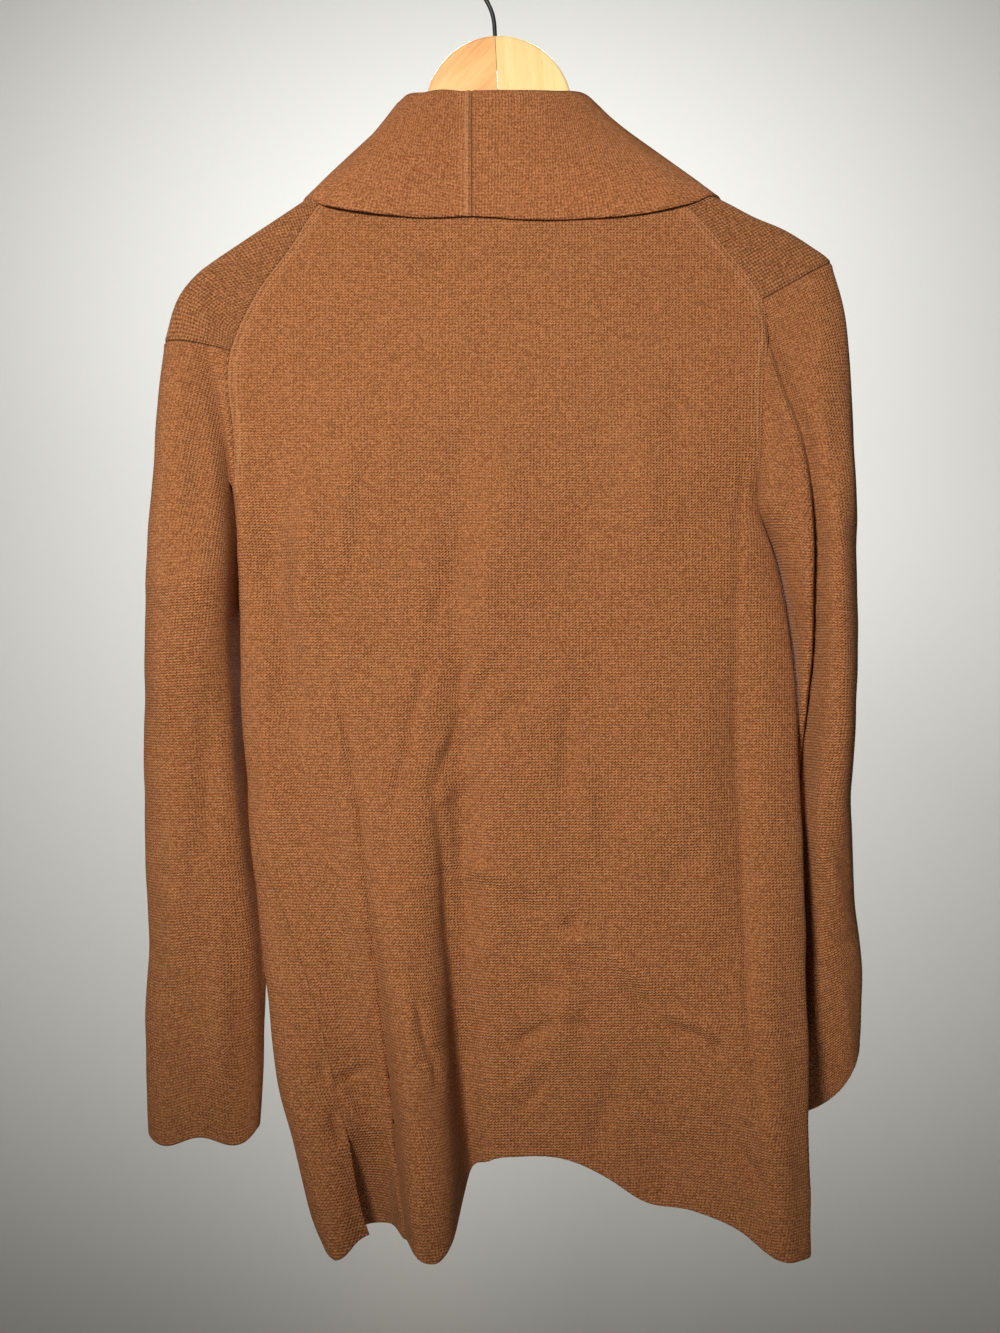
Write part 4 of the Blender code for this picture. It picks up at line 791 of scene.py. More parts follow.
# %% Tables of the creases
# x1, z1, x2, z2: the two ends. half_width: of the bell. out: its height, where a groove is negative.
BACK_CREASES = [
    # fine wrinkles that fan out from the valley over the hanging fold
    (24.4, -573.5, -47.6, -504.8, 4.5, -2.2), (31.1, -556.1, -8.9, -502.8, 4, -2.1),
    (57.8, -556.1, 31.1, -489.5, 5, -2.2), (34, -560, -10, -482, 5, 2.2), (44, -580, 8, -520, 4, 2.2),
    (49, -612, -4, -560, 4.5, 2.1), (52, -540, 36, -470, 5, 2.1),
    # ridges and troughs under the shoulders
    (117.8, -372.8, 126.8, -482.8, 9, 4.3), (89.8, -342.8, 101.8, -452.8, 8, 3.4),
    (-18.9, -356.1, -3.6, -446.1, 12, 3.1), (-5.6, -416.1, 13.1, -516.1, 11, 3.6),
    (106, -420, 112, -560, 8, -3.1), (152, -470, 146, -640, 7, 2.9), (-100, -330, -112, -430, 14, 2.6),
    (-132, -300, -124, -372, 9, -1.9), (-56, -520, -51, -600, 6, -3.1), (-66, -560, -70, -640, 7, 2.9),
    # curved wrinkles low down in the middle
    (-11.8, -765, -47.8, -742, 4.2, -4.6), (-47.8, -742, -76, -750, 4.2, -3.9),
    (-18, -808, -48, -778, 3.4, -2.6), (-10, -796, -42, -764, 4.5, 2.4),
    (-116, -744, -148, -756, 4.2, -4.1), (-146, -754, -160, -768, 4, -3.9),
    (-114, -736, -158, -752, 4.5, 3.5), (-50, -704, -72, -716, 4, -3.5), (-46, -692, -80, -688, 5, 3.5),
    (-78, -690, -120, -730, 5, 4.1), (-88, -712, -112, -744, 4.5, -3.5), (-52, -676, -62, -684, 7, -4.1),
    (-20, -716, -58, -724, 4.5, -3), (-6, -640, 24, -652, 4, 2.8), (-24, -654, 20, -634, 4.5, 3),
    (-120, -640, -150, -632, 4, -2.8), (-8, -660, -44, -672, 5, -3), (-96, -800, -140, -822, 6, 3.5),
    (-60, -700, -40, -792, 10, 4.1), (-88, -770, -72, -838, 9, -4.1), (-160, -780, -206, -850, 6, 3),
    (-150, -800, -190, -862, 5, -3),
    # on the hanging fold and beside the vent
    (46.6, -724, 36, -768, 2.8, -3.9), (36, -752, 31, -790, 2.8, -3.3), (54, -700, 46, -780, 4, 2.4),
    (111.5, -765, 106, -786, 3.2, -3.3), (104, -784, 74, -772, 3.4, -3.1),
    (103.5, -796, 95.5, -824, 3.4, -4.4), (98, -788, 84, -812, 3.2, 2.6), (84, -600, 72, -700, 7, 2),
    # sleeves
    (206, -600, 214, -720, 9, 3.5), (182, -690, 178, -800, 7, 3.1), (188, -520, 190, -640, 7, -3.1),
    (222, -470, 216, -560, 7, 2.5), (220, -720, 196, -748, 5, -2.2), (224, -640, 196, -664, 5, -1.8),
    (-232, -620, -252, -660, 5, -2.8), (-244, -720, -254, -790, 6, 2.4), (-238, -320, -242, -420, 6, 2.5),
    (-236, -690, -256, -706, 4.5, -2.2),
]
FRONT_CREASES = [
    (110, -330, 84, -452, 9, 1.1), (-122, -318, -96, -430, 10, 1.2), (140, -470, 92, -520, 8, -0.9),
    (-150, -452, -98, -512, 8, -0.9), (96, -690, 70, -760, 7, 0.8), (-132, -640, -92, -716, 8, -0.8),
    (-70, -742, -120, -776, 7, 0.7), (60, -780, 100, -806, 7, -0.7), (-176, -560, -150, -640, 9, 0.9),
    (216, -560, 178, -604, 8, -0.9), (-246, -540, -206, -588, 8, -0.9), (214, -700, 176, -724, 6, 0.7),
]
LONG_FOLDS = [
    # side of the body, half_width (or two, where it is steeper on its right, -X, or on its left), then z,
    # x and height from top to bottom. Narrow deep ones look like gaps.
    (1, (2.4, 7), [(-286, 190, 0), (-300, 187.6, -4), (-330, 182.2, -8), (-358, 177, -11),
                   (-402, 172.5, -10), (-440, 171, -4), (-480, 170, 0)]),
    (1, (2.4, 2.8), [(-350, 178.5, 0), (-380, 174.7, -6), (-402, 172.5, -14), (-440, 171.5, -20),
                     (-530, 170.5, -20), (-600, 166.5, -18), (-700, 156, -10), (-760, 154, -5),
                     (-800, 155, 0)]),
    (1, (5, 3), [(-262, -187, 0), (-276, -190.2, -4), (-299, -196.3, -7.5), (-320, -202.6, -9),
                 (-348, -211.9, -11), (-378, -217.3, -14), (-407, -220, -18), (-440, -221, -20),
                 (-490, -221.5, -20), (-523, -220.8, -20), (-575, -218, -19), (-610, -217.5, -18),
                 (-645, -219.5, -17), (-700, -221, -16), (-745, -221.5, -12), (-780, -221, 0)]),
    (1, 7, [(-290, -214, 0), (-330, -224, 1.5), (-400, -233, 2.2), (-500, -236, 2.2), (-640, -238, 1.2),
            (-720, -240, 0)]),
    (1, 5, [(-330, -231, 0), (-372, -229, -1.6), (-410, -225.5, -1.6), (-440, -224, 0)]),
    # the thin step down the back near the right side
    (1, (2.2, 3.6), [(-360, -175, 0), (-380, -173, -1.3), (-499, -168.3, -2), (-561, -168.3, -2.3),
                     (-624, -171.7, -2.8), (-708, -173.7, -3.4), (-750, -175, -3.4), (-801, -180, -1.6),
                     (-830, -181, 0)]),
    (1, 9, [(-380, -184, 0), (-499, -180, 0.9), (-624, -184, 1.3), (-750, -189, 1.5), (-860, -194, 0.4)]),
    # the left edge of the hanging fold, and the cloth that swells beside it
    (1, (4.5, 2.2), [(-500, 103, 0), (-514, 101, -1.6), (-560, 93, -2.8), (-602, 85.1, -3.8),
                     (-643, 79.8, -4.6), (-685, 75, -5.6), (-726, 70.4, -6.4), (-768, 65.6, -7),
                     (-809, 61, -7.4), (-851, 56, -7.6), (-900, 49, -7.6)]),
    (1, 6.5, [(-500, 104, 0), (-530, 101, 0.7), (-602, 94, 1.3), (-685, 85, 1.1), (-768, 77, 0.6),
              (-800, 75, 0)]),
    # the valley on the right of the hanging fold, and where it forks higher up
    (1, (4.6, 2.6), [(-590, 35, 0), (-604, 34.1, -3.2), (-645, 29.7, -5.4), (-687, 27.6, -6),
                     (-729, 24.7, -6), (-771, 22.1, -5.6), (-813, 17.3, -4.4), (-850, 9, -1.8)]),
    (1, 3.6, [(-465, 8, 0), (-477, 10.6, -1.2), (-511, 15.3, -2), (-546, 22.7, -2.8), (-566, 27.4, -3.2),
              (-595, 37, -2), (-612, 36, 0)]),
    (1, 3.2, [(-450, 28, 0), (-462, 31.4, -1.2), (-496, 41.4, -2), (-532, 46.8, -2.6), (-561, 52.9, -2.8),
              (-593, 60.9, -1.6), (-606, 62, 0)]),
    (1, 8, [(-335, 17, 0), (-350, 17.3, -1.2), (-397, 15.3, -1.5), (-439, 21.3, -1.6), (-477, 36, -1.5),
            (-520, 43, 0)]),
    (1, 9, [(-400, 149, 0), (-418, 147.2, -1.2), (-456, 140.8, -2), (-481, 136.8, -2.2), (-540, 128, -2.2),
            (-624, 124, -1.6), (-680, 120, 0)]),
    (1, 7, [(-640, 109, 0), (-671, 105.2, -1.2), (-704, 100.5, -1.5), (-729, 97.2, -1.2), (-760, 96, 0)]),
    # a low fold on each hidden side
    (-1, 6, [(-420, 128, 0), (-520, 118, -1.6), (-640, 104, -2), (-760, 96, -1.4), (-860, 92, 0)]),
    (-1, 6.5, [(-380, -142, 0), (-500, -150, -1.5), (-640, -152, -2.1), (-780, -158, -1.5),
               (-870, -160, 0)]),
    (-1, 5.5, [(-300, 196, 0), (-380, 192, -2.4), (-470, 194, -1.8), (-560, 200, 0)]),
    (-1, 5.5, [(-290, -206, 0), (-380, -216, -2.6), (-480, -226, -1.8), (-580, -230, 0)]),
]
WAVES = [
    # across, down: waves per metre. turn: where it starts. height
    (11.3, 4.1, 0.7, 0.34), (-7.9, 12.7, 2.1, 0.3), (19.7, 6.7, 4, 0.2), (-15.1, -9.3, 5.2, 0.22),
    (27.1, -17.3, 1.3, 0.12), (-22.9, 29.3, 3.4, 0.1),
]
WAVES_FROM, WAVES_EASE = -230.0, 260.0      # Z where the waves start to grow, and over how far they do
WAVES_KEPT = 0.25       # share of them above it, where the shoulders hold the cloth
CREASE_FADE = 1.6       # how soon a crease comes in where the cloth turns towards the back or the front
FOLD_TURN = 2.0         # how soon a long fold does


# %% Adding them up
def creases(points, table):
    """Height of the creases at each point: a bell across each line times a sine along it."""
    x, z = points[..., 0], points[..., 2]
    total = np.zeros_like(x)
    for x1, z1, x2, z2, half_width, out in table:
        length = math.hypot(x2 - x1, z2 - z1)
        along = ((x - x1) * (x2 - x1) + (z - z1) * (z2 - z1)) / length**2
        off = ((x - x1) * (z2 - z1) - (z - z1) * (x2 - x1)) / length
        total += out * np.sin(math.pi * np.clip(along, 0.0, 1.0)) * np.exp(-((off / half_width) ** 2))
    return total


def long_folds(points, side):
    """Height of the long folds of one side: a bell across a line whose X and height change with Z."""
    total = np.zeros_like(points[..., 0])
    for which, half_width, rows in LONG_FOLDS:
        if which == side:
            rows = np.array(rows, float)
            off = points[..., 0] - column(rows, 1, points[..., 2])
            right, left = np.broadcast_to(half_width, 2)
            wide = np.where(off < 0.0, right, left)
            total += column(rows, 2, points[..., 2]) * np.exp(-((off / wide) ** 2))
    return total


def waves(points):
    """Sum of a few sines, each along its own direction."""
    x, z = points[..., 0] * MM * math.tau, points[..., 2] * MM * math.tau
    return sum(height * np.sin(across * x + down * z + turn) for across, down, turn, height in WAVES)


def relief(points, normals):
    """What to move each point out by. Creases fade out where the cloth turns away from back or front."""
    back, front = (np.clip(side * normals[..., 1] * CREASE_FADE, 0.0, 1.0) for side in (1.0, -1.0))
    kept = WAVES_KEPT + (1.0 - WAVES_KEPT) * smooth((WAVES_FROM - points[..., 2]) / WAVES_EASE)
    creased = back * creases(points, BACK_CREASES) + front * creases(points, FRONT_CREASES)
    return creased + waves(points) * kept


def pushed(points, normals):
    """The points with the long folds, which go straight towards the front or the back. They reach a little
    way round the sides, where the cloth has turned away from the side that they are on."""
    moved = points.copy()
    for side in (1, -1):
        moved[..., 1] += side * smooth(0.5 + FOLD_TURN * side * normals[..., 1]) * long_folds(points, side)
    return moved


# %% Creased panels, and the collar laid on them
normals = agreed_normals(panels)
panels = {name: pushed(grid, normals[name]) + normals[name] * relief(grid, normals[name])[..., None]
          for name, grid in panels.items()}
collars = {"collar_left": collar(True), "collar_right": collar(False)[::-1]}
turned = {name: grid[:, ::-1] for name, grid in collars.items()}
normals = agreed_normals({**panels, **turned})
normals.update({name: -normals[name][:, ::-1] for name in turned})
grids = {**panels, **collars}
print("creased panels:", len(panels), "collar halves:", len(collars))

# %% [markdown]
# ## The cut
# Knit is a pattern of wales and courses that belongs to the flat piece, so each panel gets its flat
# coordinates in metres as a UV map. Across, they are the length over the folds from a line that hangs
# straight. Down, they follow the way the panel hangs.


# %% Flat coordinates of each panel
LINE_WIDE = 4.0         # how near to the line a point has to be to count
HANGING_LINE = {"back": -60.0, "left_front": 50.0, "right_front": -80.0}    # X of the line of each body panel


def across_from(grid, x_line):
    """Length along each row from where it passes this X, which a weighted mean of the points near it
    finds."""
    run = runs(grid)
    near = np.exp(-(((grid[..., 0] - x_line) / LINE_WIDE) ** 2)) + TINY
    return run - ((run * near).sum(axis=1) / near.sum(axis=1))[:, None]


def body_cut(grid, x_line):
    """Wales straight down at the line, and courses level."""
    return np.stack([across_from(grid, x_line), grid[..., 2]], axis=-1)


def arm_cut(grid):
    """Wales down the sleeve, from its outer line, and courses round it, spaced as down its quarter line."""
    run, outer = runs(grid), grid.shape[1] // 2
    down = runs(grid[:, outer * 3 // 2][None])[0]
    return np.stack([run - run[:, outer:outer + 1], 0.0 * run - down[:, None]], axis=-1)


def strip_cut(grid):
    """Along the strip and across it, for the saddles and the collar."""
    run = runs(grid)
    along = runs(grid[:, grid.shape[1] * 3 // 4][None])[0]
    return np.stack([0.0 * run + along[:, None], run], axis=-1)


cuts = {name: strip_cut(grid) for name, grid in grids.items()}
cuts.update({name: body_cut(grids[name], x_line) for name, x_line in HANGING_LINE.items()})
cuts.update({name: arm_cut(grids[name]) for name in ("left_sleeve", "right_sleeve")})
print("back, widest row, mm:", round(float(np.ptp(cuts["back"][..., 0], axis=1).max())))

# %% [markdown]
# ## Giving the cloth its wall
# A knit panel is 2 mm thick. Its outer and inner faces lie half of that to each side of the middle
# surface, and a rim closes them. Near an edge the faces dip to make the groove of a seam or the round of a
# hem, and just beside it they rise a little, where the seam allowance lies underneath.

# %% Sizes of a seam and of an edge
EDGE_DIP, EDGE_ROUND = 0.7, 0.75        # depth of the groove at an edge, and its half width
SEAM_RIDGE, SEAM_OFF, SEAM_WIDE = 0.35, 2.1, 1.2        # the rise beside a seam: height, place, half width
EDGES = {
    # kind of edge: share of the dip, share of the rise, painted shade of the seam
    "free": (1.0, 0.0, 0.0), "neck": (0.9, 0.3, 0.3), "centre": (0.8, 0.9, 0.5), "shoulder": (0.8, 0.8, 0.5),
    "strip": (0.15, 1.2, 0.0), "armhole": (0.4, 0.8, 0.1), "side": (0.12, 0.1, 0.12),
}
PANEL_EDGES = {
    # CAD node: start of its rows, their end, first row, last row. "body" is an armhole, then a side seam,
    # then the free edge of a vent.
    "back": ("body", "body", "neck", "free"),
    "left_front": ("free", "body", "neck", "free"), "right_front": ("body", "free", "neck", "free"),
    "left_sleeve": ("armhole", "armhole", "shoulder", "free"),
    "right_sleeve": ("armhole", "armhole", "shoulder", "free"),
    "left_saddle": ("strip", "strip", "neck", "shoulder"),
    "right_saddle": ("strip", "strip", "neck", "shoulder"),
    "collar_left": ("neck", "free", "centre", "free"), "collar_right": ("neck", "free", "free", "centre"),
}
VENT_EASE = 0.006       # share of the length over which a side seam turns into a free edge
OUT_OF_REACH = 50.0     # distance given to points that have no band of marks from the shaping
FASHION_FADE = 0.02     # share of the length over which the band ends under the armhole
COLLAR_BAND = 1.9       # puts only the second mark of the band on the collar


# %% Walls from grids
def edge_distances(grid):
    """Distance of each point from the start and the end of its row, and from the first and the last row."""
    across, down = runs(grid), runs(grid.transpose(1, 0, 2)).T
    return across, across[:, -1:] - across, down, down[-1:] - down


def edge_shares(kind):
    """Dip, rise and painted seam shade of one kind of edge, for each row where it changes along the edge."""
    if kind != "body":
        return EDGES[kind]
    marks = (0.0, UNDERARM, UNDERARM + VENT_EASE, VENT_TOP - VENT_EASE, VENT_TOP, 1.0)
    parts = [EDGES[part] for part in ("armhole", "armhole", "side", "side", "free", "free")]
    return [np.interp(BODY_ROWS, marks, values)[:, None] for values in zip(*parts)]


def rim_loop(shape):
    """Point numbers once round a grid's outline."""
    index = np.arange(shape[0] * shape[1]).reshape(shape[:2])
    return np.concatenate([index[0, :-1], index[:-1, -1], index[-1, :0:-1], index[:0:-1, 0]])


def new_piece(name, points, faces, material):
    """A smooth object from its points in metres and lists of the point numbers of its faces."""
    mesh = bpy.data.meshes.new(name)
    mesh.from_pydata(points.reshape(-1, 3).tolist(), [], faces)
    mesh.polygons.foreach_set("use_smooth", np.ones(len(faces), bool))
    mesh.materials.append(material)
    piece = bpy.data.objects.new(name, mesh)
    bpy.context.scene.collection.objects.link(piece)
    return piece


def closed_wall(name, outer, inner, cut, facts, material):
    """A piece from two grids of the same shape with a rim between them. facts: values kept on its
    points."""
    count = outer.shape[0] * outer.shape[1]
    faces, loop = grid_faces(outer.shape), rim_loop(outer.shape)
    following = np.roll(loop, -1)
    rim = np.stack([loop, following, following + count, loop + count], axis=-1)
    every = np.concatenate([faces, faces[:, ::-1] + count, rim])
    piece = new_piece(name, np.stack([outer, inner]) * MM, every.tolist(), material)
    flat = np.concatenate([cut.reshape(-1, 2)] * 2) * MM
    piece.data.uv_layers.new(name="cut").data.foreach_set("uv", flat[every.ravel()].ravel())
    for label, value in facts.items():
        spot = piece.data.attributes.new(label, "FLOAT", "POINT")
        spot.data.foreach_set("value", np.concatenate([value.ravel()] * 2).astype(np.float32))
    piece.data.validate()
    print(f"{name}: {2 * len(every)} triangles")
    return piece


def fashion(node, across):
    """Distance from the shoulder seam or armhole on the back, and from the centre seam on the collar's left
    half."""
    if node == "back":
        below = smooth((BODY_ROWS - UNDERARM) / FASHION_FADE)[:, None]
        return across + OUT_OF_REACH * below
    if node == "collar_left":
        return runs(grids[node].transpose(1, 0, 2)).T + COLLAR_BAND
    return np.full_like(across, OUT_OF_REACH)


def cloth_panel(name, node, material):
    """One panel of the blazer as a closed wall. Each of its four edges dips as a bell, rises beside it as
    another, and leaves painted seam shade for the finish."""
    grid, normal = grids[node], normals[node]
    distances = edge_distances(grid)
    half, ridge, dark = np.full(grid.shape[:2], WALL / 2.0), 0.0, 0.0
    for off, kind in zip(distances, PANEL_EDGES[node]):
        dip, rise, shade = edge_shares(kind)
        bell = np.exp(-((off / EDGE_ROUND) ** 2))
        half = np.minimum(half, WALL / 2.0 - EDGE_DIP * dip * bell)
        ridge = np.maximum(ridge, SEAM_RIDGE * rise * np.exp(-(((off - SEAM_OFF) / SEAM_WIDE) ** 2)))
        dark = np.maximum(dark, shade * bell)
    # seam: painted shade in the groove along each seam and edge
    facts = {"seam": dark, "fashion": fashion(node, np.minimum(distances[0], distances[1])) * MM}
    return closed_wall(name, grid + normal * (half + ridge)[..., None], grid - normal * half[..., None],
                       cuts[node], facts, material)


print("seam ridge:", SEAM_RIDGE, "mm")

# %% [markdown]
# ## Finishes
# Colours are picked as sRGB hex and turned to the linear values that shaders work in. One helper adds a
# node with its settings and links, which keeps each material readable as a list of its nodes.


# %% Colour and node helpers
IN_COLOUR = {"out": 2, "data_type": "RGBA"}     # makes a Mix node mix colours, which are its inputs 6 and 7


def linear(text):
    """sRGB hex to linear RGBA: the standard's power of 2.4, with its straight start."""
    value = np.array([int(text[k:k + 2], 16) for k in (1, 3, 5)]) / 255.0
    value = np.where(value <= 0.04045, value / 12.92, ((value + 0.055) / 1.055) ** 2.4)
    return (*value.tolist(), 1.0)


def add(tree, kind, inputs, out=0, **settings):
    """Add a node, set it up, link or set its inputs, and give back one of its outputs. inputs: a tuple in
    their order, or a dict by name or number."""
    node = tree.nodes.new("ShaderNode" + kind)
    for name, value in settings.items():
        setattr(node, name, value)
    for name, value in inputs.items() if isinstance(inputs, dict) else enumerate(inputs):
        if isinstance(value, bpy.types.NodeSocket):
            tree.links.new(value, node.inputs[name])
        else:
            node.inputs[name].default_value = value
    return node.outputs[out]


def new_finish(name, sockets):
    """A material, its nodes and its Principled shader, with what is the same all over set on the
    sockets."""
    material = bpy.data.materials.new(name)
    material.use_nodes = True
    shader = material.node_tree.nodes["Principled BSDF"]
    for socket, value in sockets.items():
        shader.inputs[socket].default_value = value
    return material, material.node_tree, shader


print("camel in linear light:", [round(v, 3) for v in linear("#a0643f")[:3]])

# %% [markdown]
# ## The knit
# The cloth is a fine heathered wool jersey: stitches in columns, called wales, each a stack of small V
# shapes. The yarn is spun from fibres dyed in slightly different browns, so it is flecked all over. The
# height of the V pattern drives the bump and paints shade into the gaps between the wales. Wool scatters
# light at its surface, which the sheen gives, and it has no gloss.


# %% Sizes in the knits
WANDER, WANDER_SCALE = 0.0011, 60.0     # metres that a wale strays from straight, and its waves per metre
CROWN, CROWN_POWER = 0.8, 0.6           # of a jersey wale: its height, and how round it is
STITCH, STITCH_SLANT = 0.5, 0.8         # of a jersey stitch: its height, and how steep its V is
RIB, COURSE, FIRM = 0.5, 0.45, 0.6      # of a firm knit: its ribs, its courses, and how high both are
FIBRE_SCALE, FIBRE_LONG = 1300.0, 0.6   # flecks of fibre per metre, 0.8 mm apart, and the share along a wale
YARN_CELLS = 1.9                        # patches of one shade of yarn in the width of a stitch
PATCH_SCALE, CLOUD_SCALE = 90.0, 14.0   # unevenness about 11 mm and 70 mm wide, per metre
YARN, PATCH, CLOUD = 0.28, 0.04, 0.04   # how much each adds to the fibre
EVEN = 0.68             # sum of them at which light and dark fibre are half and half
# The low parts of the relief get painted shade, which ends at this height
GAP_TOP = 0.9           # height of the relief above which nothing is in a gap
FUZZ, MARK = 0.7, 0.5   # how far the fibre, and a mark of the band, stand out in the relief
MARK_PITCH = 0.0045     # metres between the marks of the band
# Painted highlight on the raised marks of the band
MARK_HIGHLIGHT = 0.26       # how much lighter they are
BAND_END = (0.0085, 0.0105)             # metres from the seam over which the band ends
WOOL = {"Roughness": 0.92, "Sheen Weight": 0.18, "Sheen Roughness": 0.45, "Sheen Tint": linear("#e8b58c"),
        "Specular IOR Level": 0.2}
print("flecks of fibre, mm:", round(1000.0 / FIBRE_SCALE, 2))


# %% Knit of any gauge
def laid_flat(tree, size):
    """The flat coordinates, and the same across and down in stitches, pushed about a little by noise so
    that no wale is quite straight."""
    cut = add(tree, "UVMap", (), uv_map="cut")
    push = add(tree, "TexNoise", {"Vector": cut, "Scale": WANDER_SCALE, "Detail": 2.0}, out=1,
               noise_dimensions="2D")
    push = add(tree, "VectorMath", (push, (0.5, 0.5, 0.5)), operation="SUBTRACT")
    push = add(tree, "VectorMath", {0: push, "Scale": WANDER}, operation="SCALE")
    laid = add(tree, "VectorMath", (cut, push), operation="ADD")
    laid = add(tree, "VectorMath", (laid, (1.0 / size[0], 1.0 / size[1], 1.0)), operation="MULTIPLY")
    split = add(tree, "SeparateXYZ", (laid,)).node
    return cut, split.outputs[0], split.outputs[1]


def jersey(tree, across, down):
    """Height of a stack of V stitches: a crown over each wale, with slanting loops that rise to its
    middle."""
    wing = add(tree, "Math", (across, 0.5), operation="PINGPONG")
    crown = add(tree, "Math", (wing, 2.0), operation="MULTIPLY")
    crown = add(tree, "Math", (crown, CROWN_POWER), operation="POWER")
    loop = add(tree, "Math", (wing, STITCH_SLANT, down), operation="MULTIPLY_ADD")
    loop = add(tree, "Math", (loop, math.tau), operation="MULTIPLY")
    loop = add(tree, "Math", (loop,), operation="SINE")
    crown = add(tree, "Math", (crown, CROWN), operation="MULTIPLY")
    return add(tree, "Math", (loop, STITCH, crown), operation="MULTIPLY_ADD")


def firm(tree, across, down):
    """Height of a firm knit: the sine of the ribs one way and of the courses the other way, added."""
    turns = [add(tree, "Math", (way, math.tau), operation="MULTIPLY") for way in (across, down)]
    rib, course = (add(tree, "Math", (turn,), operation="SINE") for turn in turns)
    course = add(tree, "Math", (course, COURSE), operation="MULTIPLY")
    both = add(tree, "Math", (rib, RIB, course), operation="MULTIPLY_ADD")
    return add(tree, "Math", (both, FIRM, FIRM), operation="MULTIPLY_ADD")


def band_marks(tree):
    """Raised lines that the shaping leaves in a band beside a seam, which the knit lightens as a painted
    highlight: a sine of the distance from it."""
    off = add(tree, "Attribute", (), out=2, attribute_name="fashion")
    line = add(tree, "Math", (off, math.tau / MARK_PITCH), operation="MULTIPLY")
    line = add(tree, "Math", (line,), operation="SINE")
    inside = add(tree, "MapRange", {"Value": off, "From Min": BAND_END[0], "From Max": BAND_END[1],
                                    "To Min": 1.0, "To Max": 0.0})
    line = add(tree, "Math", (line, 0.5, 0.5), operation="MULTIPLY_ADD")
    return add(tree, "Math", (line, inside), operation="MULTIPLY")


def heather(tree, cut, size, softness):
    """Share of light fibre: fine noise for the fibre, plus a random value for each patch of yarn and two
    coarser noises, mapped so that their usual sum is a half. Gives the fibre too."""
    drawn = add(tree, "VectorMath", (cut, (1.0, FIBRE_LONG, 1.0)), operation="MULTIPLY")
    fibre = add(tree, "TexNoise", {"Vector": drawn, "Scale": FIBRE_SCALE, "Detail": 2.0, "Roughness": 0.7},
                noise_dimensions="2D")
    yarn = add(tree, "TexVoronoi", {"Vector": cut, "Scale": YARN_CELLS / size[0]}, out=1,
               voronoi_dimensions="2D")
    yarn = add(tree, "SeparateColor", (yarn,))
    patch, cloud = (add(tree, "TexNoise", {"Vector": cut, "Scale": scale, "Detail": detail},
                        noise_dimensions="2D") for scale, detail in ((PATCH_SCALE, 3.0), (CLOUD_SCALE, 2.0)))
    mixed = fibre
    for more, share in ((patch, PATCH), (cloud, CLOUD), (yarn, YARN)):
        mixed = add(tree, "Math", (more, share, mixed), operation="MULTIPLY_ADD")
    ends = {"From Min": EVEN - softness, "From Max": EVEN + softness}
    return fibre, add(tree, "MapRange", {"Value": mixed, **ends})


# %% The whole finish of a knit
def knit(name, pattern, size, dark, light, relief_depth, softness, gap_shade):
    """Heathered knit. size: width and height of a stitch in metres. dark, light: its two fibres.
    relief_depth: in metres. softness: of the heather. gap_shade: how much painted shade the gaps between
    the wales get."""
    material, tree, shader = new_finish(name, WOOL)
    cut, across, down = laid_flat(tree, size)
    height = pattern(tree, across, down)
    fibre, share = heather(tree, cut, size, softness)
    colour = add(tree, "Mix", {0: share, 6: linear(dark), 7: linear(light)}, **IN_COLOUR)
    marks = band_marks(tree)
    # Painted highlight on the raised marks of the band: the colour is mixed towards a pale camel
    share = add(tree, "Math", (marks, MARK_HIGHLIGHT), operation="MULTIPLY")
    colour = add(tree, "Mix", {0: share, 6: colour, 7: linear("#dba276")}, **IN_COLOUR)
    # Painted shade in the gaps between the wales: the colour is mixed towards a dark brown where the relief
    # is low
    gap = add(tree, "MapRange", {"Value": height, "From Min": 0.0, "From Max": GAP_TOP, "To Min": gap_shade,
                                 "To Max": 0.0})
    colour = add(tree, "Mix", {0: gap, 6: colour, 7: linear("#3a1c0e")}, **IN_COLOUR)
    # Painted shade along the seams: the colour is mixed towards a dark brown as much as the seam attribute
    # says
    seam = add(tree, "Attribute", (), out=2, attribute_name="seam")
    colour = add(tree, "Mix", {0: seam, 6: colour, 7: linear("#331a0f")}, **IN_COLOUR)
    tree.links.new(colour, shader.inputs["Base Color"])

    raised = add(tree, "Math", (fibre, FUZZ, height), operation="MULTIPLY_ADD")
    raised = add(tree, "Math", (marks, MARK, raised), operation="MULTIPLY_ADD")
    normal = add(tree, "Bump", {"Height": raised, "Distance": relief_depth, "Strength": 1.0})
    tree.links.new(normal, shader.inputs["Normal"])
    return material


# The body's wales are about 1.6 mm apart on such a knit, and are drawn at 2.2 mm so that they show.
heathered_jersey = knit("heathered camel wool jersey", jersey, (0.0022, 0.0019), "#85502b", "#bf8153",
                        relief_depth=0.0007, softness=0.17, gap_shade=0.26)
# The shoulder strips are knitted firmer, with coarse ribs along them, and look a little darker. The gaps
# between their ribs get strong painted shade.
firm_strip = knit("firm camel wool knit of the shoulder strips", firm, (0.0023, 0.0021), "#7c4c2b", "#bc8052",
                  relief_depth=0.0009, softness=0.15, gap_shade=0.75)
# The collar is the same yarn in a fine upright rib.
collar_rib = knit("camel wool rib of the collar", firm, (0.0021, 0.0021), "#804c29", "#b87b50",
                  relief_depth=0.0007, softness=0.17, gap_shade=0.28)
print("knits:", [m.name for m in (heathered_jersey, firm_strip, collar_rib)])

# %% [markdown]
# ## Wood and wire
# The hanger is two pieces of lacquered hardwood glued at the middle, cut with different grain, so its
# halves differ in colour. Long thin noise stretched along the grain gives the pores and the growth bands.
# The hook is steel wire with a black coating.


# %% Finishes of the hanger
GRAIN_LONG = 0.08       # share of the waves that there are along the grain
GROWTH_SCALE, PORE_SCALE = 130.0, 1100.0        # waves per metre across it: bands 8 mm apart, pores 0.9 mm
LACQUER = {"Roughness": 0.42, "Coat Weight": 0.35, "Coat Roughness": 0.18}


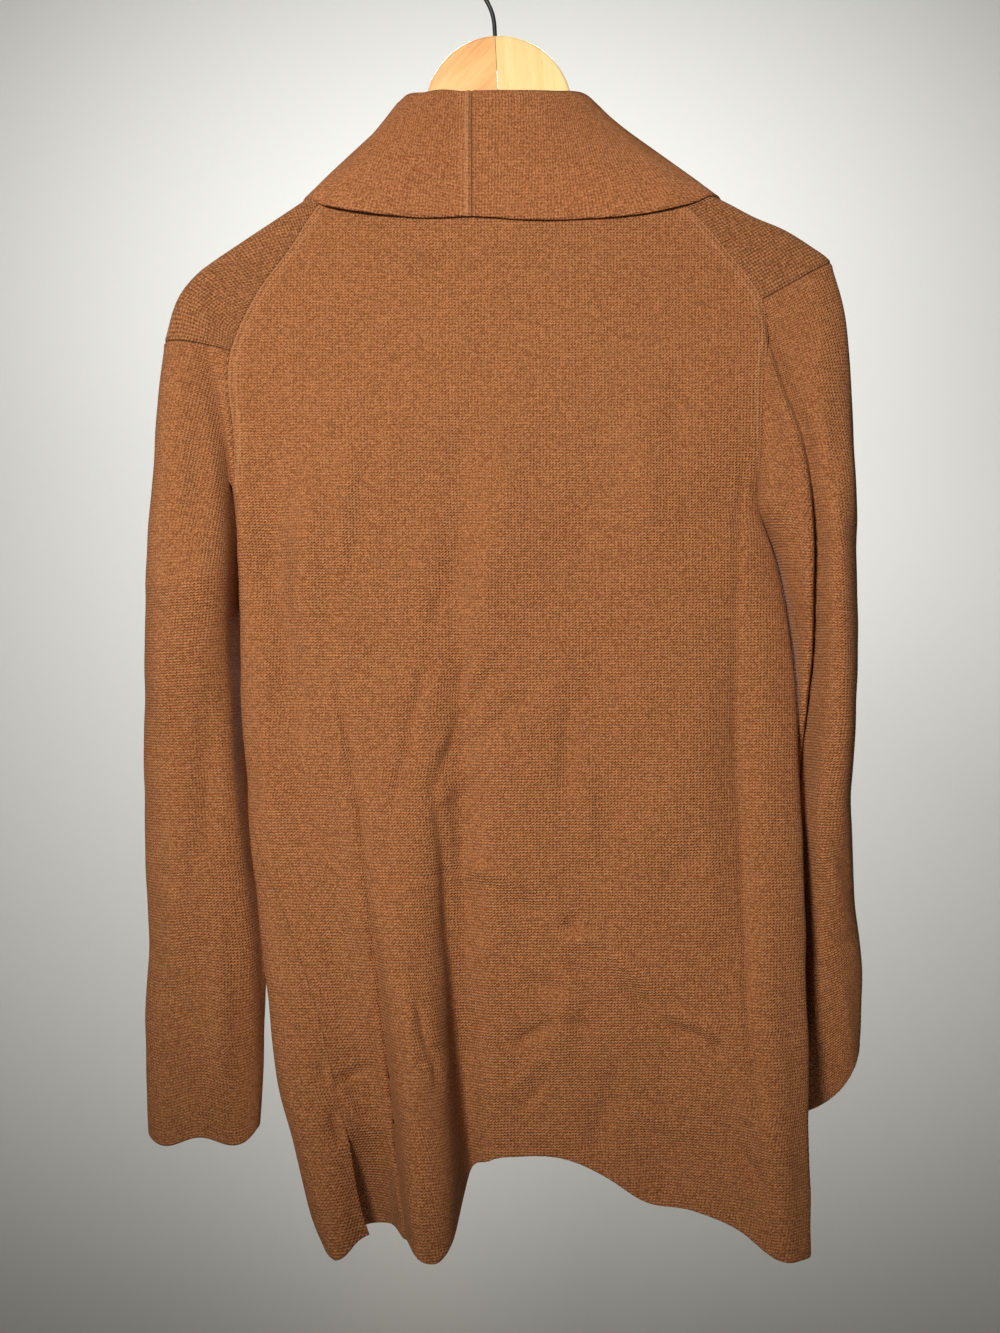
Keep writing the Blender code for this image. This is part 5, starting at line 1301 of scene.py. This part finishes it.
def lacquered_wood(name, pale, warm, turn, bands):
    """Lacquered wood. turn: degrees of the grain from level. bands: how much the growth bands show."""
    material, tree, shader = new_finish(name, LACQUER)
    place = add(tree, "TexCoord", (), out=3)
    turned = add(tree, "Mapping", {"Vector": place, "Rotation": (0.0, math.radians(turn), 0.0)})
    drawn = add(tree, "VectorMath", (turned, (GRAIN_LONG, 1.0, 1.0)), operation="MULTIPLY")
    growth = add(tree, "TexNoise", {"Vector": drawn, "Scale": GROWTH_SCALE, "Detail": 3.0, "Distortion": 0.4})
    pores = add(tree, "TexNoise", {"Vector": drawn, "Scale": PORE_SCALE, "Detail": 2.0})
    share = add(tree, "MapRange", {"Value": growth, "From Min": 0.35, "From Max": 0.68, "To Max": bands})
    colour = add(tree, "Mix", {0: share, 6: linear(pale), 7: linear(warm)}, **IN_COLOUR)
    pore = add(tree, "MapRange", {"Value": pores, "From Min": 0.6, "From Max": 0.75, "To Max": 0.25})
    colour = add(tree, "Mix", {0: pore, 6: colour, 7: linear("#b07a3c")}, **IN_COLOUR)
    tree.links.new(colour, shader.inputs["Base Color"])
    return material


def coated_wire():
    """Black coated steel: a dark coating that is smooth but not a mirror."""
    return new_finish("black coated steel wire", {"Base Color": linear("#1c1b1b"), "Roughness": 0.38})[0]


# The left half shows broad warm bands of grain on a slant, the right half is paler with long fine grain.
orange_wood = lacquered_wood("lacquered hardwood, slanting grain", "#f0bf7c", "#d9954f",
                             turn=-45.0, bands=0.9)
pale_wood = lacquered_wood("lacquered hardwood, pale straight grain", "#f3d596", "#e6bb77",
                           turn=84.0, bands=0.6)
for node, finish in (("hanger_left", orange_wood), ("hanger_right", pale_wood)):
    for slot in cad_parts[node].material_slots:
        slot.material = finish
print("wood on", [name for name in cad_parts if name.startswith("hanger")])

# %% [markdown]
# ## The pieces of cloth
# Each maker's piece is one closed mesh: the back, two fronts, two sleeves, two shoulder strips, and the
# collar in two halves that meet at the centre back seam.

# %% Making every panel
PIECES = {
    # CAD node: piece, finish, slot
    "back": ("back_panel", heathered_jersey, "knit"),
    "left_front": ("left_front_panel", heathered_jersey, "knit"),
    "right_front": ("right_front_panel", heathered_jersey, "knit"),
    "left_sleeve": ("left_sleeve_panel", heathered_jersey, "knit"),
    "right_sleeve": ("right_sleeve_panel", heathered_jersey, "knit"),
    "left_saddle": ("left_shoulder_strip", firm_strip, "saddle_knit"),
    "right_saddle": ("right_shoulder_strip", firm_strip, "saddle_knit"),
    "collar_left": ("left_collar_half", collar_rib, "collar_knit"),
    "collar_right": ("right_collar_half", collar_rib, "collar_knit"),
}


def flat_area(node):
    """Area of the middle surface in square metres, over all folds."""
    points = grids[node].reshape(-1, 3)
    faces = grid_faces(grids[node].shape)
    return 0.5 * float(np.linalg.norm(crossed(points, faces), axis=1).sum()) * MM * MM


def flat_size(node):
    """Width and length of the cut: the longest row and the longest column."""
    width = float(runs(grids[node])[:, -1].max()) * MM
    length = float(runs(grids[node].transpose(1, 0, 2))[:, -1].max()) * MM
    return width, length


for node, (label, finish, slot) in PIECES.items():
    piece = cloth_panel(label, node, finish)
    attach(piece, "root")
    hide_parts(node)
    flat_size(node)
    print(f"{label}: cut {[round(v, 3) for v in flat_size(node)]} m, {flat_area(node):.4f} m2")

# %% [markdown]
# ## The hook
# A length of 3 mm wire is pushed into the wood, leans over a wide bend and closes round a rail as a loop.
# Sweeping a ring of points along its centre line gives the wire, and two short domes close its ends.

# %% Centre line of the hook
WIRE = 1.5              # radius
LOOP = 22.0             # radius of the loop's centre line
BEND = 37.0             # radius of the bend under it
SHANK = 20.0            # depth of the shank in the wood
LOOP_STOP = 205.0       # degrees, where the loop ends
WOOD_TOP = (-5.5, -76.7)        # X and Z of the top of the wood
TILT = math.radians(3.0)        # of the hanger, the wearer's left side lower
HOOK_COUNTS = (12, 24, 90)      # points along the shank, the bend and the loop
DOME_RINGS, WIRE_SIDES = 5, 16  # rings of the dome at each end, and points in each ring


def arc(centre, radius, start, stop, count):
    """Points of an arc in X and Z, by cosine and sine."""
    angle = np.radians(np.linspace(start, stop, count))
    return np.stack([centre[0] + radius * np.cos(angle), centre[1] + radius * np.sin(angle)], axis=-1)


def hook_line():
    """Shank, bend and loop, in the hanger's own X and Z. The bend and the loop touch where their centres
    and the point are in line, so the bend's height follows from Pythagoras."""
    across, up = -WOOD_TOP[0], -WOOD_TOP[1] - LOOP + WIRE
    loop = (across * math.cos(TILT) - up * math.sin(TILT), across * math.sin(TILT) + up * math.cos(TILT))
    bend = (BEND, loop[1] - math.sqrt((BEND + LOOP) ** 2 - (BEND - loop[0]) ** 2))
    meet = math.degrees(math.atan2(bend[1] - loop[1], bend[0] - loop[0]))
    on_shank, on_bend, on_loop = HOOK_COUNTS
    shank = np.stack([np.zeros(on_shank), np.linspace(-SHANK, bend[1], on_shank)], axis=-1)
    return np.concatenate([shank[:-1], arc(bend, BEND, 180.0, 180.0 + meet, on_bend),
                           arc(loop, LOOP, meet, LOOP_STOP, on_loop)[1:]])


def swept_wire(line):
    """Grid of rings along a line in the X-Z plane: its radius times the cosine of a turn to the side, and
    the sine along Y. Each end closes over a quarter circle of smaller rings."""
    along = np.gradient(line, axis=0)
    along /= np.linalg.norm(along, axis=1, keepdims=True)
    dome = np.radians(np.linspace(90.0, 0.0, DOME_RINGS + 1)[:-1])
    line = np.concatenate([line[:1] - along[:1] * WIRE * np.sin(dome)[:, None], line,
                           line[-1:] + along[-1:] * WIRE * np.sin(dome)[::-1, None]])
    size = np.concatenate([np.cos(dome), np.ones(len(along)), np.cos(dome)[::-1]]) * WIRE
    first, last = along[:1].repeat(DOME_RINGS, axis=0), along[-1:].repeat(DOME_RINGS, axis=0)
    along = np.concatenate([first, along, last])
    turn = np.arange(WIRE_SIDES) * math.tau / WIRE_SIDES
    out, side = size[:, None] * np.cos(turn), size[:, None] * np.sin(turn)
    return np.stack([line[:, :1] - out * along[:, 1:], side, line[:, 1:] + out * along[:, :1]], axis=-1)


def hung(points):
    """From the hanger's own place to the row frame: the tilt, then the top of the wood."""
    x, y, z = points[..., 0], points[..., 1], points[..., 2]
    return np.stack([x * math.cos(TILT) + z * math.sin(TILT) + WOOD_TOP[0], y,
                     z * math.cos(TILT) - x * math.sin(TILT) + WOOD_TOP[1]], axis=-1)


def ring_faces(count, sides):
    """Point numbers of closed rings as rows, and the faces between each ring and the next."""
    index = np.arange(count * sides).reshape(count, sides)
    after = np.roll(index, -1, axis=1)
    return index, np.stack([index[:-1], index[1:], after[1:], after[:-1]], axis=-1).reshape(-1, 4).tolist()


# %% Making the wire
rings = hung(swept_wire(hook_line()))
index, tube = ring_faces(*rings.shape[:2])
ends = [index[0].tolist(), index[-1][::-1].tolist()]
wire = new_piece("hook_wire", rings * MM, tube + ends, coated_wire())
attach(wire, "root")
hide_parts("hook")
print("hook wire:", len(tube) + len(ends), "faces")

# %% [markdown]
# ## Stage, light and camera
# The blazer hangs before a plain pale wall that curves into a floor, one turned surface so that no edge
# shows. A soft spot near the viewer, to one side and as high as the hook, lights the upper part and falls
# off towards the hem. A weak light from the front side of the blazer fills the shade, and a third lights
# the wall behind.

# %% Backdrop, in metres
BOWL = 3.2              # from the middle to the wall
FLOOR = -1.7            # height of the floor
COVE = 1.8              # radius of the curve between floor and wall
WALL_TOP = 3.2          # height of the wall
HUB = 0.05              # radius of the flat middle of the floor
COVE_STEPS, FLAT_STEPS = 24, 8          # points down the curve, and along the floor and the wall
BOWL_SIDES = 128


def bowl_profile():
    """Radius and height of the backdrop from its middle outwards: floor, quarter circle, wall."""
    turn = np.radians(np.linspace(-90.0, 0.0, COVE_STEPS))
    floor = np.stack([np.linspace(HUB, BOWL - COVE, FLAT_STEPS), np.full(FLAT_STEPS, FLOOR)], axis=-1)
    cove = np.stack([BOWL - COVE + COVE * np.cos(turn), FLOOR + COVE + COVE * np.sin(turn)], axis=-1)
    heights = np.linspace(FLOOR + COVE, WALL_TOP, FLAT_STEPS)
    upright = np.stack([np.full(FLAT_STEPS, BOWL), heights], axis=-1)
    return np.concatenate([floor, cove[1:], upright[1:]])


def plain_paint():
    """Matt pale grey paint with a very faint roller texture, its dabs about 6 mm apart."""
    material, tree, shader = new_finish("matt pale grey paint", {"Base Color": linear("#c4c4c0"),
                                                                "Roughness": 0.85})
    place = add(tree, "TexCoord", (), out=3)
    roller = add(tree, "TexNoise", {"Vector": place, "Scale": 180.0, "Detail": 2.0})
    normal = add(tree, "Bump", {"Height": roller, "Distance": 0.0004, "Strength": 0.4})
    tree.links.new(normal, shader.inputs["Normal"])
    return material


def turned_bowl():
    """The backdrop: its profile turned about Z, with its faces towards the middle."""
    radius, height = np.split(bowl_profile(), 2, axis=1)
    turn = np.arange(BOWL_SIDES) * math.tau / BOWL_SIDES
    rings = np.stack([radius * np.cos(turn), radius * np.sin(turn), height + 0.0 * turn], axis=-1)
    index, faces = ring_faces(len(radius), BOWL_SIDES)
    inside = [face[::-1] for face in faces + [index[0].tolist()]]
    return new_piece("backdrop", rings, inside, plain_paint())


backdrop = turned_bowl()
print("backdrop:", len(backdrop.data.polygons), "faces")


# %% Lights and camera
SPOT_EDGE = 0.85        # share of the spot's cone over which it fades


def soft_light(name, kind, place, aim, size, watts, colour, spread):
    """A soft light that looks at a point: an area light, or a spot as wide as size with a soft edge.
    spread: degrees over which it throws its light."""
    lamp = bpy.data.lights.new(name, kind)
    if kind == "AREA":
        lamp.shape, lamp.size, lamp.spread = "SQUARE", size, math.radians(spread)
    else:
        lamp.shadow_soft_size, lamp.spot_size, lamp.spot_blend = size / 2.0, math.radians(spread), SPOT_EDGE
    lamp.energy, lamp.color = watts, linear(colour)[:3]
    light = bpy.data.objects.new(name, lamp)
    light.location = place
    light.rotation_euler = (Vector(aim) - Vector(place)).to_track_quat("-Z", "Y").to_euler()
    bpy.context.scene.collection.objects.link(light)


soft_light("key", "SPOT", (0.40, 1.3, 0.0), (-0.015, 0.0, -0.42),
           size=0.30, watts=113.0, colour="#fff6ec", spread=46.0)
soft_light("front_fill", "AREA", (0.15, -2.1, 0.6), (0.0, 0.0, -0.4),
           size=1.2, watts=15.0, colour="#f4f6ff", spread=70.0)
soft_light("wall_wash", "AREA", (0.0, -0.9, 1.0), (0.0, -3.2, 0.1),
           size=1.3, watts=42.0, colour="#ffffff", spread=110.0)

room = bpy.data.worlds.new("pale room")
room.use_nodes = True
air = room.node_tree.nodes["Background"]
air.inputs["Color"].default_value, air.inputs["Strength"].default_value = linear("#eee2d6"), 0.16
bpy.context.scene.world = room
bpy.context.scene.view_settings.view_transform = "Standard"

lens = bpy.data.cameras.new("view_of_the_back")
lens.lens, lens.sensor_width = 41.4, 36.0
camera = bpy.data.objects.new("view_of_the_back", lens)
camera.location = (-0.0089, 1.05, -0.5068)
camera.rotation_euler = (math.radians(90.0), 0.0, math.radians(180.0))
bpy.context.scene.collection.objects.link(camera)
bpy.context.scene.camera = camera
print("camera at", tuple(camera.location))
